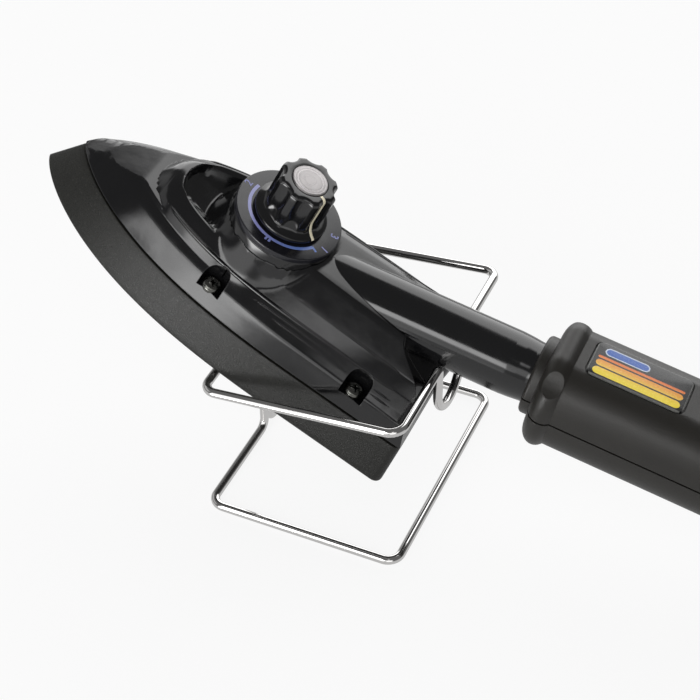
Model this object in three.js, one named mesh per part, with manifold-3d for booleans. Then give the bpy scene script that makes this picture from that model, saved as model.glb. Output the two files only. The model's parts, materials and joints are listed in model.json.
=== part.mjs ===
import * as THREE from 'three';
import { mergeVertices } from 'three/addons/utils/BufferGeometryUtils.js';
import Module from 'manifold-3d';

// A heat sealing iron that rests on a bent wire stand. Millimetres, +Z up, nose -X, handle +X.

const wasm = await Module();
wasm.setup();

// Gaps between neighbouring pieces
const seatGap = 0.3;
const shankGap = 0.3;
const runGap = 0.3;
const overrun = 2;

// How the iron lies: the sole is pitched nose up, the neck rises from the sole's plane
const solePitch = THREE.MathUtils.degToRad(26.35);
const neckRise = THREE.MathUtils.degToRad(15.11);
const heelInset = 7.31;
const heelZ = 19.23;

// Wire stand
const wireRadius = 1.1;
const baseLength = 48.7;
const baseWidth = 62.6;
const standCornerRadius = 4.2;
const riserBendRadius = 2.6;
const riserGap = 0.3;
const saddleRadius = 7.55;
const saddleDepth = 15.6;
const shoulderRadius = 1.3;
const wireSides = 10;
const saddleBottomShare = 0.999;
const heelX = baseLength / 2 - heelInset;

// Shoe outline: straight sides that draw in to a blunt point
const shoeLength = 108.4;
const shoeHalfWidth = 26;
const shoeStraight = 26.1;
const shoeHeight = 11;
const shoeDraft = 2.8;
const shoeEdge = 0.9;
const edgeShare = 0.3;
const heelCorner = 2.1;
const shoeFloor = 4;
const shoeWall = 2.4;
const noseDraftShare = 2.4;
const heelDraftShare = 0.3;
const outlinePowerShare = 2.8;
const outlineRootShare = 0.7476;

// Heater stack on the pan's floor
const elementThickness = 1.6;
const sheetThickness = 0.6;
const clampThickness = 1.5;
const stackInset = 10.8;
const clampNoseGap = 27.4;
const clampFront = clampNoseGap - shoeLength;
const clampRear = -26;
const clampHalfWidth = 9;
const clampScrewInset = 8;
const clampScrewFront = clampFront + clampScrewInset;
const clampScrewRear = -31;
const clampShank = 1.5;
const clampHead = 2.9;
const clampHeadHeight = 1.9;
const clampPost = 4;
const clampPostTop = 5.4;

// Cover: a lofted shell with creases that run from the nose to the rear
const coverGap = 0.8;
const coverWall = 2.3;
const coverSetback = 6.8;
const coverFront = shoeLength - coverSetback;
const coverRear = 1;
const coverRearLean = 21.3;
const rimHeight = shoeHeight + coverGap;
const skirtRise = 4.7;
const stripRise = 1.5;
const facetRise = 2.2;
const panelRise = 2.8;
const plateauRise = 4.3;
const skirtTop = rimHeight + skirtRise;
const stripTop = skirtTop + stripRise;
const facetFoot = stripTop + facetRise;
const panelFoot = facetFoot + panelRise;
const plateauHeight = panelFoot + plateauRise;
const rimHalfWidth = shoeHalfWidth - shoeDraft;
const skirtInset = 1.3;
const stripInset = 2;
const facetInset = 2.7;
const panelInset = 2.45;
const plateauInset = 5.8;
const skirtNose = 6.1;
const stripNose = 7.2;
const facetNose = 13.6;
const panelNose = 22.6;
const plateauNose = 23.4;
const tipLength = 6.5;
const tipHeight = 2.9;
const deckLength = 17.4;
const deckHeight = 6.6;
const lipFoot = 19.2;
const lipFootRise = 0.3;
const lipShoulder = 21.2;
const lipShoulderHeight = 9.4;
const lipTop = 24.6;
const lipCurve = 8.8;
const rampFront = 37.6;
const rampRear = 43.6;
const skirtShares = [3, 0.87, 0.033];
const stripShares = [3.2, 1.12, 0.0206];
const facetShares = [3.17, 0.8, 0.0088];
const panelShares = [5, 0.63, 0.041];
const plateauShares = [3.4, 0.5, 0.0437];
const coverStationShares = [0, 0.004, 0.02, 0.045, 0.075, 0.11, 0.15, 0.185, 0.215, 0.232, 0.25, 0.28,
  0.32, 0.37, 0.43, 0.5, 0.6, 0.75, 0.9, 1];

// Relief of the rear wall beside the neck
const reliefDepth = 7.6;
const reliefHalfWidth = 16.5;
const reliefEase = 8;
const reliefDrop = 14.3;
const reliefHeight = 9;

// Scoop in front of the dial
const scoopLength = 11;
const scoopFloorFront = 3;
const scoopFloorRear = 5.5;
const scoopRidgeFront = 4.2;
const scoopRidgeRear = 9.8;
const scoopDepth = 2.2;
const scoopFall = 2.4;

// Screws of the cover
const coverScrewFront = -57.3;
const coverScrewFrontSide = 17.8;
const coverScrewRear = -17.2;
const coverScrewRearSide = 19.4;
const pocketDrop = 2.5;
const pocketFloor = skirtTop - pocketDrop;
const pocketRadius = 3;
const pocketReach = 6;
const pocketWall = 1.2;
const screwHead = 2.2;
const screwHeadHeight = 1.9;
const screwShank = 1.4;
const screwTip = 5.5;
const coverPost = 3.4;
const headSideShare = 0.4;
const headDomeShare = 0.85;
const headRimShare = 0.8;
const headTopShare = 0.45;
const recessReachShare = 0.62;
const recessWidthShare = 0.14;

// Dial, knob and thermostat
const dialS = -52;
const dialRise = 2.9;
const dialTop = plateauHeight + dialRise;
const dialRadius = 13;
const dialThickness = 1.5;
const bossFlare = 0.9;
const bossDepth = 8.3;
const bossRoot = plateauHeight - bossDepth;
const knobHeight = 12.1;
const knobLobeRadius = 7.1;
const knobSkirtRadius = 8.8;
const knobSkirtHeight = 2.2;
const knobFlute = 2.1;
const knobFluteOut = 1.25;
const knobLobes = 8;
const knobWellDepth = 3;
const capRadius = 4.3;
const capThickness = 0.9;
const capProud = 0.25;
const pointerWidth = 0.7;
const pointerDepth = 0.6;
const lowMark = THREE.MathUtils.degToRad(-27);
const spindleRadius = 2.5;
const bushRadius = 3.9;
const bushFloor = 1;
const bushSpigot = 2.7;
const nutAcross = 9.6;
const nutThickness = 1.9;
const grubRadius = 1.5;
const grubLength = 3.2;
const pinRadius = 1.3;
const pinTravel = 0.6;
const frameThickness = 1.2;
const frameHalfWidth = 7;
const frameFront = -62;
const frameRear = -35.6;
const frameDrop = 8.7;
const frameTop = plateauHeight - frameDrop;
const stackS = -41;
const bladeHalfWidth = 2.5;
const bladeFront = -60;
const bladeTail = -33;
const bladeThickness = 0.5;
const bimetalThickness = 0.8;
const ceramicHeight = 1.6;
const ceramicRadius = 3.4;
const stackShank = 1.2;
const stackHead = 2.6;
const stackHeadHeight = 1.6;

// Neck and handle, along the neck's own axis
const neckRiseOver = 2.3;
const neckHeight = plateauHeight + neckRiseOver;
const neckRadius = 7.25;
const neckRootRadius = 7.65;
const neckRootLength = 12;
const neckBore = 4.9;
const neckStart = -34;
const neckEnd = 46;
const neckCollar = 9.4;
const neckCollarStart = 34;
const neckCollarLength = 3;
const tailHalfWidth = 5.5;
const tailFront = -14;
const tailRear = -1.2;
const tailDepth = 12.1;
const tailBottom = plateauHeight - tailDepth;
const flangeStart = 14.7;
const flangeLength = 2.5;
const flangeRadius = 9.45;
const bolsterLength = 6.7;
const bolsterSwell = 1.1;
const bolsterRiseShare = 2.4;
const gripEnd = 150;
const gripHalfWidth = 13.4;
const gripHalfHeight = 11.8;
const gripCorner = 10.2;
const gripWall = 2.3;
const gripFrontWall = 3;
const gripRearWall = 3.2;
const gripEndRound = 5;
const endRoundShare = 0.4;
const endRiseShare = 0.2;
const endFaceShare = 0.7;
const seamGap = 0.3;
const fluteRadius = 3.1;
const fluteDepth = 1.2;
const fluteHeight = 4.6;
const gripPost = 3.2;
const gripScrewHead = 2.3;
const gripScrewHeadHeight = 1.8;
const gripScrewShank = 1.15;
const gripScrewFloor = 7;
const gripScrewTip = 5.5;
const gripScrewFront = 58;
const gripScrewRear = 126;

// Label, terminals and cord gland
const labelStart = 25.5;
const labelEnd = 48.3;
const labelHalfWidth = 5.55;
const labelThickness = 0.6;
const labelSink = 0.5;
const labelCorner = 1.6;
const terminalStart = 86;
const terminalLength = 13;
const terminalHalfWidth = 7.2;
const terminalHeight = 8;
const terminalScrewRadius = 1.9;
const terminalScrewSide = 3.6;
const terminalScrewHeight = 3;
const rackWidth = 1.6;
const clampBarPlace = 136;
const clampBarLength = 5;
const clampBarHeight = 2.4;
const clampBarHalfWidth = 8.2;
const clampBarScrewSide = 6;
const clampBarScrewRadius = 1.1;
const clampBarScrewHead = 1.9;
const clampBarScrewHeight = 1.4;
const clampSaddleHeight = 3;
const saddleHoleShare = 2.4;
const clampLegShare = 2.4;
const cordHeightShare = 1.6;
const glandTaperShare = 0.86;
const glandRadius = 5.2;
const glandFlange = 7;
const glandFlangeLength = 2.4;
const glandOut = 7;
const glandBore = 3.3;
const leadRadius = 1.1;
const leadSide = 2.1;

const finish = {
  chrome: new THREE.MeshStandardMaterial({ color: 0xd8d8da, roughness: 0.12, metalness: 1 }),
  coat: new THREE.MeshStandardMaterial({ color: 0x2c2c29, roughness: 0.45, metalness: 0.5 }),
  gloss: new THREE.MeshStandardMaterial({ color: 0x0c0c0f, roughness: 0.12, metalness: 0 }),
  satin: new THREE.MeshStandardMaterial({ color: 0x141414, roughness: 0.5, metalness: 0 }),
  steel: new THREE.MeshStandardMaterial({ color: 0x9a9a98, roughness: 0.35, metalness: 1 }),
  darkSteel: new THREE.MeshStandardMaterial({ color: 0x4a4a46, roughness: 0.3, metalness: 1 }),
  aluminium: new THREE.MeshStandardMaterial({ color: 0xc9cacc, roughness: 0.3, metalness: 1 }),
  brass: new THREE.MeshStandardMaterial({ color: 0xb5924a, roughness: 0.35, metalness: 1 }),
  ceramic: new THREE.MeshStandardMaterial({ color: 0xe6e0d2, roughness: 0.5, metalness: 0 }),
  mica: new THREE.MeshStandardMaterial({ color: 0xb8a888, roughness: 0.6, metalness: 0 }),
  cream: new THREE.MeshStandardMaterial({ color: 0xe8dfc4, roughness: 0.45, metalness: 0 }),
  label: new THREE.MeshStandardMaterial({ color: 0xd8902a, roughness: 0.35, metalness: 0 }),
  sleeve: new THREE.MeshStandardMaterial({ color: 0xb9b4a6, roughness: 0.8, metalness: 0 }),
};

// Solids and booleans

function toSolid(geometry) {
  const bare = geometry.index ? geometry.toNonIndexed() : geometry.clone();
  bare.deleteAttribute('normal');
  bare.deleteAttribute('uv');
  const merged = mergeVertices(bare, 1e-4);
  const index = merged.index.array;
  const corner = (k) => new THREE.Vector3().fromBufferAttribute(merged.attributes.position, k);
  const kept = [];
  let volume = 0;
  for (let i = 0; i < index.length; i += 3) {
    const [a, b, c] = [index[i], index[i + 1], index[i + 2]];
    if (a === b || b === c || c === a) continue;
    kept.push(a, b, c);
    volume += corner(a).dot(corner(b).cross(corner(c)));
  }
  if (volume < 0) kept.reverse();
  return new wasm.Manifold(new wasm.Mesh({
    numProp: 3,
    vertProperties: new Float32Array(merged.attributes.position.array),
    triVerts: new Uint32Array(kept),
  }));
}

function toGeometry(solid) {
  const mesh = solid.getMesh();
  const geometry = new THREE.BufferGeometry();
  geometry.setAttribute('position', new THREE.BufferAttribute(new Float32Array(mesh.vertProperties), 3));
  geometry.setIndex(new THREE.BufferAttribute(new Uint32Array(mesh.triVerts), 1));
  geometry.computeVertexNormals();
  return geometry;
}

function joined(...solids) {
  return solids.reduce((sum, next) => sum.add(next));
}

function cut(solid, ...tools) {
  return tools.reduce((rest, tool) => rest.subtract(tool), solid);
}

function piece(name, solid, material, parent) {
  const mesh = new THREE.Mesh(toGeometry(solid), material.clone());
  mesh.name = name;
  parent.add(mesh);
  return mesh;
}

// A box between two corners
function block(x0, x1, y0, y1, z0, z1) {
  const box = new THREE.BoxGeometry(x1 - x0, y1 - y0, z1 - z0);
  return toSolid(box.translate((x0 + x1) / 2, (y0 + y1) / 2, (z0 + z1) / 2));
}

// An upright cylinder or cone from z0 to z1 about the line through x, y
function post(x, y, z0, z1, lowRadius, highRadius = lowRadius, sides = 16) {
  const rod = new THREE.CylinderGeometry(highRadius, lowRadius, z1 - z0, sides);
  return toSolid(rod.rotateX(Math.PI / 2).translate(x, y, (z0 + z1) / 2));
}

// A cylinder or cone along the x axis
function rod(x0, x1, y, z, startRadius, endRadius = startRadius, sides = 24) {
  const bar = new THREE.CylinderGeometry(endRadius, startRadius, x1 - x0, sides);
  return toSolid(bar.rotateZ(-Math.PI / 2).translate((x0 + x1) / 2, y, z));
}

// A turned solid: pairs of radius and height, from the axis to the axis
function turned(profile, x, y, sides = 32) {
  const points = profile.map(([radius, height]) => new THREE.Vector2(radius, height));
  return toSolid(new THREE.LatheGeometry(points, sides).rotateX(Math.PI / 2).translate(x, y, 0));
}

// A shape in the x and y plane pushed up from z0 to z1
function slab(shape, z0, z1, curveSegments = 6) {
  const plate = new THREE.ExtrudeGeometry(shape, { depth: z1 - z0, bevelEnabled: false, curveSegments });
  return toSolid(plate.translate(0, 0, z0));
}

// Rings of equally many points, skinned one to the next and closed by a fan at each end
function loft(rings) {
  const count = rings[0].length;
  const positions = [];
  const face = (a, b, c) => positions.push(...a, ...b, ...c);
  for (let i = 0; i + 1 < rings.length; i += 1) {
    for (let k = 0; k < count; k += 1) {
      const [a, b] = [rings[i][k], rings[i][(k + 1) % count]];
      const [c, d] = [rings[i + 1][k], rings[i + 1][(k + 1) % count]];
      face(a, b, d);
      face(a, d, c);
    }
  }
  const middle = (ring) => [0, 1, 2].map((axis) => ring.reduce((sum, p) => sum + p[axis], 0) / count);
  const [first, last] = [rings[0], rings[rings.length - 1]];
  for (let k = 0; k < count; k += 1) {
    face(middle(first), first[(k + 1) % count], first[k]);
    face(middle(last), last[k], last[(k + 1) % count]);
  }
  const geometry = new THREE.BufferGeometry();
  geometry.setAttribute('position', new THREE.Float32BufferAttribute(positions, 3));
  return toSolid(geometry);
}

// Stand

// A closed line through corners, each rounded by its own radius in its own plane
function roundedLoop(corners) {
  const path = [];
  const count = corners.length;
  for (let i = 0; i < count; i += 1) {
    const [at, radius] = corners[i];
    const before = corners[(i + count - 1) % count][0].clone().sub(at).normalize();
    const after = corners[(i + 1) % count][0].clone().sub(at).normalize();
    const halfAngle = before.angleTo(after) / 2;
    if (radius === 0) {
      path.push(at.clone());
      continue;
    }
    const bisector = before.clone().add(after).normalize();
    const centre = at.clone().addScaledVector(bisector, radius / Math.sin(halfAngle));
    const start = at.clone().addScaledVector(before, radius / Math.tan(halfAngle)).sub(centre);
    const end = at.clone().addScaledVector(after, radius / Math.tan(halfAngle)).sub(centre);
    const sweep = start.angleTo(end);
    const arcSteps = Math.ceil(3 + radius / wireRadius / 2);
    for (let k = 0; k <= arcSteps; k += 1) {
      const share = k / arcSteps;
      const a = Math.sin((1 - share) * sweep) / Math.sin(sweep);
      const b = Math.sin(share * sweep) / Math.sin(sweep);
      path.push(start.clone().multiplyScalar(a).addScaledVector(end, b).add(centre));
    }
  }
  return path.filter((p, i) => p.distanceTo(path[(i + 1) % path.length]) > wireRadius / 100);
}

// A tube round a closed line. Its section has a flat side down wherever the line lies level.
function closedTube(path, radius, sides) {
  const count = path.length;
  const corner = radius / Math.cos(Math.PI / sides);
  const rings = [];
  const side = new THREE.Vector3(0, 0, 1);
  let lastTangent = null;
  for (let i = 0; i < count; i += 1) {
    const before = path[i].clone().sub(path[(i + count - 1) % count]).normalize();
    const after = path[(i + 1) % count].clone().sub(path[i]).normalize();
    const tangent = before.clone().add(after).normalize();
    if (lastTangent) {
      side.applyQuaternion(new THREE.Quaternion().setFromUnitVectors(lastTangent, tangent));
    }
    side.addScaledVector(tangent, -side.dot(tangent)).normalize();
    lastTangent = tangent;
    rings.push({ at: path[i], tangent, side: side.clone() });
  }
    const ringPoints = rings.map(({ at, tangent, side: up }) => {
    const across = new THREE.Vector3().crossVectors(tangent, up);
    return Array.from({ length: sides }, (_, k) => {
      const angle = ((k + 0.5) / sides) * 2 * Math.PI;
      return at.clone().addScaledVector(up, corner * Math.cos(angle))
        .addScaledVector(across, corner * Math.sin(angle)).toArray();
    });
  });
  const positions = [];
  for (let i = 0; i < count; i += 1) {
    const [ring, next] = [ringPoints[i], ringPoints[(i + 1) % count]];
    for (let k = 0; k < sides; k += 1) {
      const m = (k + 1) % sides;
      positions.push(...ring[k], ...next[m], ...next[k], ...ring[k], ...ring[m], ...next[m]);
    }
  }
  const geometry = new THREE.BufferGeometry();
  geometry.setAttribute('position', new THREE.Float32BufferAttribute(positions, 3));
  return toSolid(geometry);
}

// The loop's left side carries the sole, and the saddle's shoulders carry the neck's root
function standSolid() {
  const left = -baseLength / 2;
  const right = baseLength / 2;
  const side = baseWidth / 2;
  const soleAtLeft = heelZ + (heelX - left) * Math.tan(solePitch);
  const loopLow = soleAtLeft - (wireRadius + seatGap) / Math.cos(solePitch);
  const neckSlope = Math.tan(solePitch - neckRise);
  const neckX = heelX + neckHeight * Math.sin(solePitch);
  const neckZ = heelZ + neckHeight * Math.cos(solePitch) - (right - neckX) * neckSlope;
  const reach = neckRootRadius + seatGap + wireRadius + shoulderRadius;
  const shoulderAcross = saddleRadius + shoulderRadius;
  const loopHigh = neckZ - Math.sqrt(reach * reach - shoulderAcross * shoulderAcross) + shoulderRadius;
  const riser = wireRadius + riserGap / 2;
  const point = (x, y, z) => new THREE.Vector3(x, y, z);
  const bottomRadius = saddleRadius * saddleBottomShare;
  const corners = [
    [point(right, 0, wireRadius), 0],
    [point(right, side, wireRadius), standCornerRadius],
    [point(left, side, wireRadius), standCornerRadius],
    [point(left, riser, wireRadius), riserBendRadius],
    [point(left, riser, loopLow), riserBendRadius],
    [point(left, side, loopLow), standCornerRadius],
    [point(right, side, loopHigh), standCornerRadius],
    [point(right, saddleRadius, loopHigh), shoulderRadius],
    [point(right, saddleRadius, loopHigh - saddleDepth), bottomRadius],
    [point(right, -saddleRadius, loopHigh - saddleDepth), bottomRadius],
    [point(right, -saddleRadius, loopHigh), shoulderRadius],
    [point(right, -side, loopHigh), standCornerRadius],
    [point(left, -side, loopLow), standCornerRadius],
    [point(left, -riser, loopLow), riserBendRadius],
    [point(left, -riser, wireRadius), riserBendRadius],
    [point(left, -side, wireRadius), standCornerRadius],
    [point(right, -side, wireRadius), standCornerRadius],
  ];
  return closedTube(roundedLoop(corners), wireRadius, wireSides);
}

// Shoe and heater

const outlineShares = [outlinePowerShare, outlineRootShare, 0];

// Half width at s of a pointed outline of the given length and half width. Its shares are the power and
// the root of its curve, and how much its straight part draws in towards the nose.
function halfWidth(s, length, width, [power, root, draw] = outlineShares) {
  const along = THREE.MathUtils.clamp((-s - shoeStraight) / (length - shoeStraight), 0, 1);
  return (width + draw * s) * (1 - along ** power) ** root;
}

// The outline as a ring of points, drawn in by an inset: more at the nose, less at the heel
function shoeRing(inset, height, noseSteps = 16) {
  const length = shoeLength - inset * noseDraftShare;
  const width = shoeHalfWidth - inset;
  const heel = -inset * heelDraftShare;
  const flank = [];
  for (let i = 0; i <= noseSteps; i += 1) {
    const along = Math.sin((i / noseSteps) * Math.PI / 2);
    const s = -shoeStraight - (length - shoeStraight) * along;
    flank.push([s, halfWidth(s, length, width)]);
  }
  const round = [];
  for (let k = 0; k <= 3; k += 1) {
    const angle = (k / 3) * Math.PI / 2;
    round.push([heel - heelCorner * (1 - Math.cos(angle)), width - heelCorner * (1 - Math.sin(angle))]);
  }
  const half = [...round, ...flank];
  const mirror = half.slice(0, -1).reverse().map(([s, t]) => [s, -t]);
  return [...half, ...mirror].map(([s, t]) => [s, t, height]);
}

function soleSolid() {
  const skin = loft([
    shoeRing(shoeEdge, 0),
    shoeRing(shoeEdge * edgeShare, shoeEdge * edgeShare),
    shoeRing(0, shoeEdge),
    shoeRing(shoeDraft, shoeHeight),
  ]);
  const pan = loft([
    shoeRing(shoeWall + shoeDraft * shoeFloor / shoeHeight, shoeFloor),
    shoeRing(shoeWall + shoeDraft * (1 + overrun / shoeHeight), shoeHeight + overrun),
  ]);
  const posts = coverScrewPlaces().map(([s, t]) => post(s, t, shoeFloor - overrun, shoeHeight, coverPost));
  const outside = posts.map((boss) => boss.intersect(skin));
  const clampPosts = clampScrewPlaces().map((s) => (
    post(s, 0, shoeFloor - overrun, clampPostTop, clampPost)));
  const drill = screwShank + shankGap;
  const drilled = coverScrewPlaces().map(([s, t]) => (
    post(s, t, screwTip - shankGap, shoeHeight + overrun, drill, drill, 10)));
  const tap = clampShank + shankGap;
  const tapped = clampScrewPlaces().map((s) => (
    post(s, 0, clampScrewTip() - seatGap, shoeHeight, tap, tap, 10)));
  return cut(joined(cut(skin, pan), ...outside, ...clampPosts), ...drilled, ...tapped);
}

function coverScrewPlaces() {
  return [
    [coverScrewFront, -coverScrewFrontSide],
    [coverScrewFront, coverScrewFrontSide],
    [coverScrewRear, -coverScrewRearSide],
    [coverScrewRear, coverScrewRearSide],
  ];
}

function clampScrewPlaces() {
  return [clampScrewFront, clampScrewRear];
}

function clampScrewTip() {
  return shoeFloor / 2;
}

const elementBottom = shoeFloor + seatGap;
const sheetBottom = elementBottom + elementThickness + seatGap;
const clampBottom = sheetBottom + sheetThickness + seatGap;
const clampTop = clampBottom + clampThickness;

// A flat layer of the heater with holes for the posts or the screws
function layer(inset, bottom, thickness, hole) {
  const plate = loft([shoeRing(inset, bottom, 10), shoeRing(inset, bottom + thickness, 10)]);
  const holes = clampScrewPlaces().map((s) => (
    post(s, 0, bottom - overrun, bottom + thickness + overrun, hole)));
  return cut(plate, ...holes);
}

function clampPlateSolid() {
  const plate = block(clampFront, clampRear, -clampHalfWidth, clampHalfWidth, clampBottom, clampTop);
  const hole = clampShank + shankGap;
  return cut(plate, ...clampScrewPlaces().map((s) => (
    post(s, 0, clampBottom - overrun, clampTop + overrun, hole))));
}

// A pan head screw whose head sits on height z, with a cross recess
function panScrew(x, y, z, head, headHeight, shank, tip) {
  const floor = z + headHeight * headSideShare;
  const body = joined(
    turned([[0, z], [head, z], [head, floor], [head * headRimShare, z + headHeight * headDomeShare],
      [head * headTopShare, z + headHeight], [0, z + headHeight]], x, y, 12),
    post(x, y, tip, z + headHeight / 3, shank, shank, 8),
  );
  const arm = head * recessReachShare;
  const slot = head * recessWidthShare;
  const top = z + headHeight + overrun;
  return cut(body, block(x - arm, x + arm, y - slot, y + slot, floor, top),
    block(x - slot, x + slot, y - arm, y + arm, floor, top));
}

// Cover

// Creases of the cover from the rim to the plateau: length of nose, half width, height, outline shares
const skirtHalfWidth = rimHalfWidth - skirtInset;
const stripHalfWidth = skirtHalfWidth - stripInset;
const facetHalfWidth = stripHalfWidth - facetInset;
const panelHalfWidth = facetHalfWidth - panelInset;
const plateauHalfWidth = panelHalfWidth - plateauInset;
const crease = (setback, width, height, shares) => ({ nose: coverFront - setback, width, height, shares });
const creases = [
  crease(0, rimHalfWidth, rimHeight, outlineShares),
  crease(skirtNose, skirtHalfWidth, skirtTop, skirtShares),
  crease(stripNose, stripHalfWidth, stripTop, stripShares),
  crease(facetNose, facetHalfWidth, facetFoot, facetShares),
  crease(panelNose, panelHalfWidth, panelFoot, panelShares),
  crease(plateauNose, plateauHalfWidth, plateauHeight, plateauShares),
];

// Heights that cap the creases: the deck over the nose, the lip behind it and the ramp up to the plateau
const deckTop = rimHeight + deckHeight + lipFootRise;
const deckLine = [
  [coverFront, rimHeight],
  [coverFront - tipLength, rimHeight + tipHeight],
  [coverFront - deckLength, rimHeight + deckHeight],
  [coverFront - lipFoot, deckTop],
];
const lipLine = [
  [coverFront - lipFoot, deckTop],
  [coverFront - lipShoulder, rimHeight + lipShoulderHeight],
  [coverFront - lipTop, panelFoot],
];
const rampLine = [
  [coverFront - rampFront, panelFoot],
  [coverFront - rampRear, plateauHeight],
];

// Height of a line at s, level before its first point and after its last
function heightAlong(line, s) {
  for (let i = 1; i < line.length; i += 1) {
    const [[s0, h0], [s1, h1]] = [line[i - 1], line[i]];
    if (-s >= s1) return h0 + (h1 - h0) * Math.max(0, (s0 + s) / (s0 - s1));
  }
  return line[line.length - 1][1];
}

// The lip is round in plan, so its line lies further back the further out a point is
function capHeight(s, t) {
  const curved = s - (t * t) / (2 * lipCurve);
  if (-curved > coverFront - lipFoot) return heightAlong(deckLine, s);
  if (-curved > coverFront - lipTop) return heightAlong(lipLine, curved);
  return heightAlong(rampLine, s);
}

// The cover's section at s, drawn in by a wall and closed along the rim
function coverRing(s, wall) {
  const side = creases.map(({ nose, width, height, shares }) => {
    const reach = Math.max(0, halfWidth(s, nose - wall, width - wall, shares));
    const top = Math.min(height, capHeight(s, reach));
    return [reach, height === rimHeight ? height : Math.max(rimHeight, top - wall)];
  });
  const top = [0, Math.max(rimHeight, capHeight(s, 0) - wall)];
  const near = side.map(([t, h]) => [s, -t, h]);
  const far = side.map(([t, h]) => [s, t, h]).reverse();
  return [...near, [s, ...top], ...far];
}

function coverStations(nose, rear) {
  return coverStationShares.map((share) => -nose + (nose - rear) * share);
}

function coverSolid() {
  const skin = loft(coverStations(coverFront, 0).map((s) => coverRing(s, 0))).subtract(behind(-coverRear));
  const inner = loft(coverStations(coverFront - coverWall * 2, 0).map((s) => coverRing(s, coverWall)));
  const below = inner.subtract(behind(-coverRear - coverWall)).translate([0, 0, -overrun]);
  const scoopPad = scoopSolid(coverWall).intersect(skin);
  const boss = turned([
    [0, bossRoot], [dialRadius + bossFlare, bossRoot], [dialRadius, plateauHeight - bossFlare],
    [dialRadius - seatGap, dialTop - dialThickness - seatGap], [0, dialTop - dialThickness - seatGap],
  ], dialS, 0, 36);
  const bossWell = post(dialS, 0, bossRoot - overrun, plateauHeight - coverWall, dialRadius - coverWall);
  const neck = alongNeck(joined(
    rod(neckStart, neckRootLength, 0, 0, neckRootRadius),
    rod(neckRootLength - overrun, neckEnd, 0, 0, neckRadius),
    rod(neckCollarStart, neckCollarStart + neckCollarLength, 0, 0, neckCollar),
  ));
  const neckHole = alongNeck(rod(neckStart - overrun, neckEnd + overrun, 0, 0, neckBore));
  const tailTop = neckHeight - neckRadius / 2;
  const tail = block(tailFront, tailRear, -tailHalfWidth, tailHalfWidth, tailBottom, tailTop);
  const posts = coverScrewPlaces().map(([s, t]) => (
    post(s, t, shoeHeight + seatGap, pocketFloor + coverWall, pocketRadius + pocketWall).intersect(
      loft([shoeRing(shoeDraft, shoeHeight), shoeRing(shoeDraft, plateauHeight)]))));
  const hollow = below.add(bossWell).subtract(scoopPad);
  const shell = cut(joined(skin, boss, neck.subtract(below), tail), hollow);
  const pockets = coverScrewPlaces().map(([s, t]) => {
    const out = Math.sign(t) * pocketReach;
    const wide = block(s - pocketRadius, s + pocketRadius, Math.min(t, t + out), Math.max(t, t + out),
      pocketFloor, plateauHeight);
    return joined(post(s, t, pocketFloor, plateauHeight, pocketRadius), wide);
  });
  const holes = coverScrewPlaces().map(([s, t]) => (
    post(s, t, 0, plateauHeight, screwShank + shankGap, screwShank + shankGap, 10)));
  const bushHole = post(dialS, 0, bossRoot - overrun, dialTop, bushRadius + shankGap);
  return cut(joined(shell, ...posts), neckHole, ...pockets, ...holes, bushHole, scoopSolid(0));
}

// All that lies behind the cover's rear wall, which leans forward from its foot on the rim and is drawn
// further forward beside the neck
function behind(foot) {
  const reach = shoeLength;
  const lean = Math.tan(THREE.MathUtils.degToRad(coverRearLean));
  const low = plateauHeight - reliefDrop;
  const high = low + reliefHeight;
  const front = (t, h) => {
    const beside = THREE.MathUtils.smoothstep(reliefHalfWidth - Math.abs(t), 0, reliefEase);
    const above = THREE.MathUtils.smoothstep(h, low, high);
    return foot - (h - rimHeight) * lean - reliefDepth * beside * above;
  };
  const levels = [-reach, low, (low + high) / 2, high, reach];
  const section = (t) => [...levels.map((h) => [front(t, h), t, h]), [reach, t, reach], [reach, t, -reach]];
  const sides = [reach, reliefHalfWidth, reliefHalfWidth - reliefEase / 2, reliefHalfWidth - reliefEase];
  return loft([...sides.map((t) => -t), ...sides.reverse()].map(section));
}

// The scoop in front of the dial: its floor falls from the lip to the foot of the dial's boss, and its
// sides slope up to the ridges, which spread towards the dial
function scoopSolid(wall) {
  const front = dialS - dialRadius - scoopLength - wall;
  const floorHeight = panelFoot - scoopDepth - wall;
  const ring = (s, floor, half, ridge) => {
    const side = [[half + wall, floor], [ridge + wall, panelFoot], [ridge + wall, plateauHeight]];
    return [...side, ...side.map(([t, h]) => [-t, h]).reverse()].map(([t, h]) => [s, t, h]);
  };
  return loft([
    ring(front, floorHeight, scoopFloorFront, scoopRidgeFront),
    ring(dialS - dialRadius + wall, floorHeight - scoopFall, scoopFloorRear, scoopRidgeRear),
  ]);
}

// Moves a solid built along the neck's axis to its place on the iron
function alongNeck(solid) {
  return solid.rotate([0, -THREE.MathUtils.radToDeg(neckRise), 0]).translate([0, 0, neckHeight]);
}

// Dial, knob and thermostat

function dialSolid() {
  const hole = post(dialS, 0, 0, dialTop + overrun, bushRadius + shankGap);
  return cut(post(dialS, 0, dialTop - dialThickness, dialTop, dialRadius, dialRadius, 36), hole);
}

const knobBottom = dialTop + runGap;
const nutCorner = nutAcross / 2 / Math.cos(Math.PI / 6);
const knobTop = dialTop + knobHeight;

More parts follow.
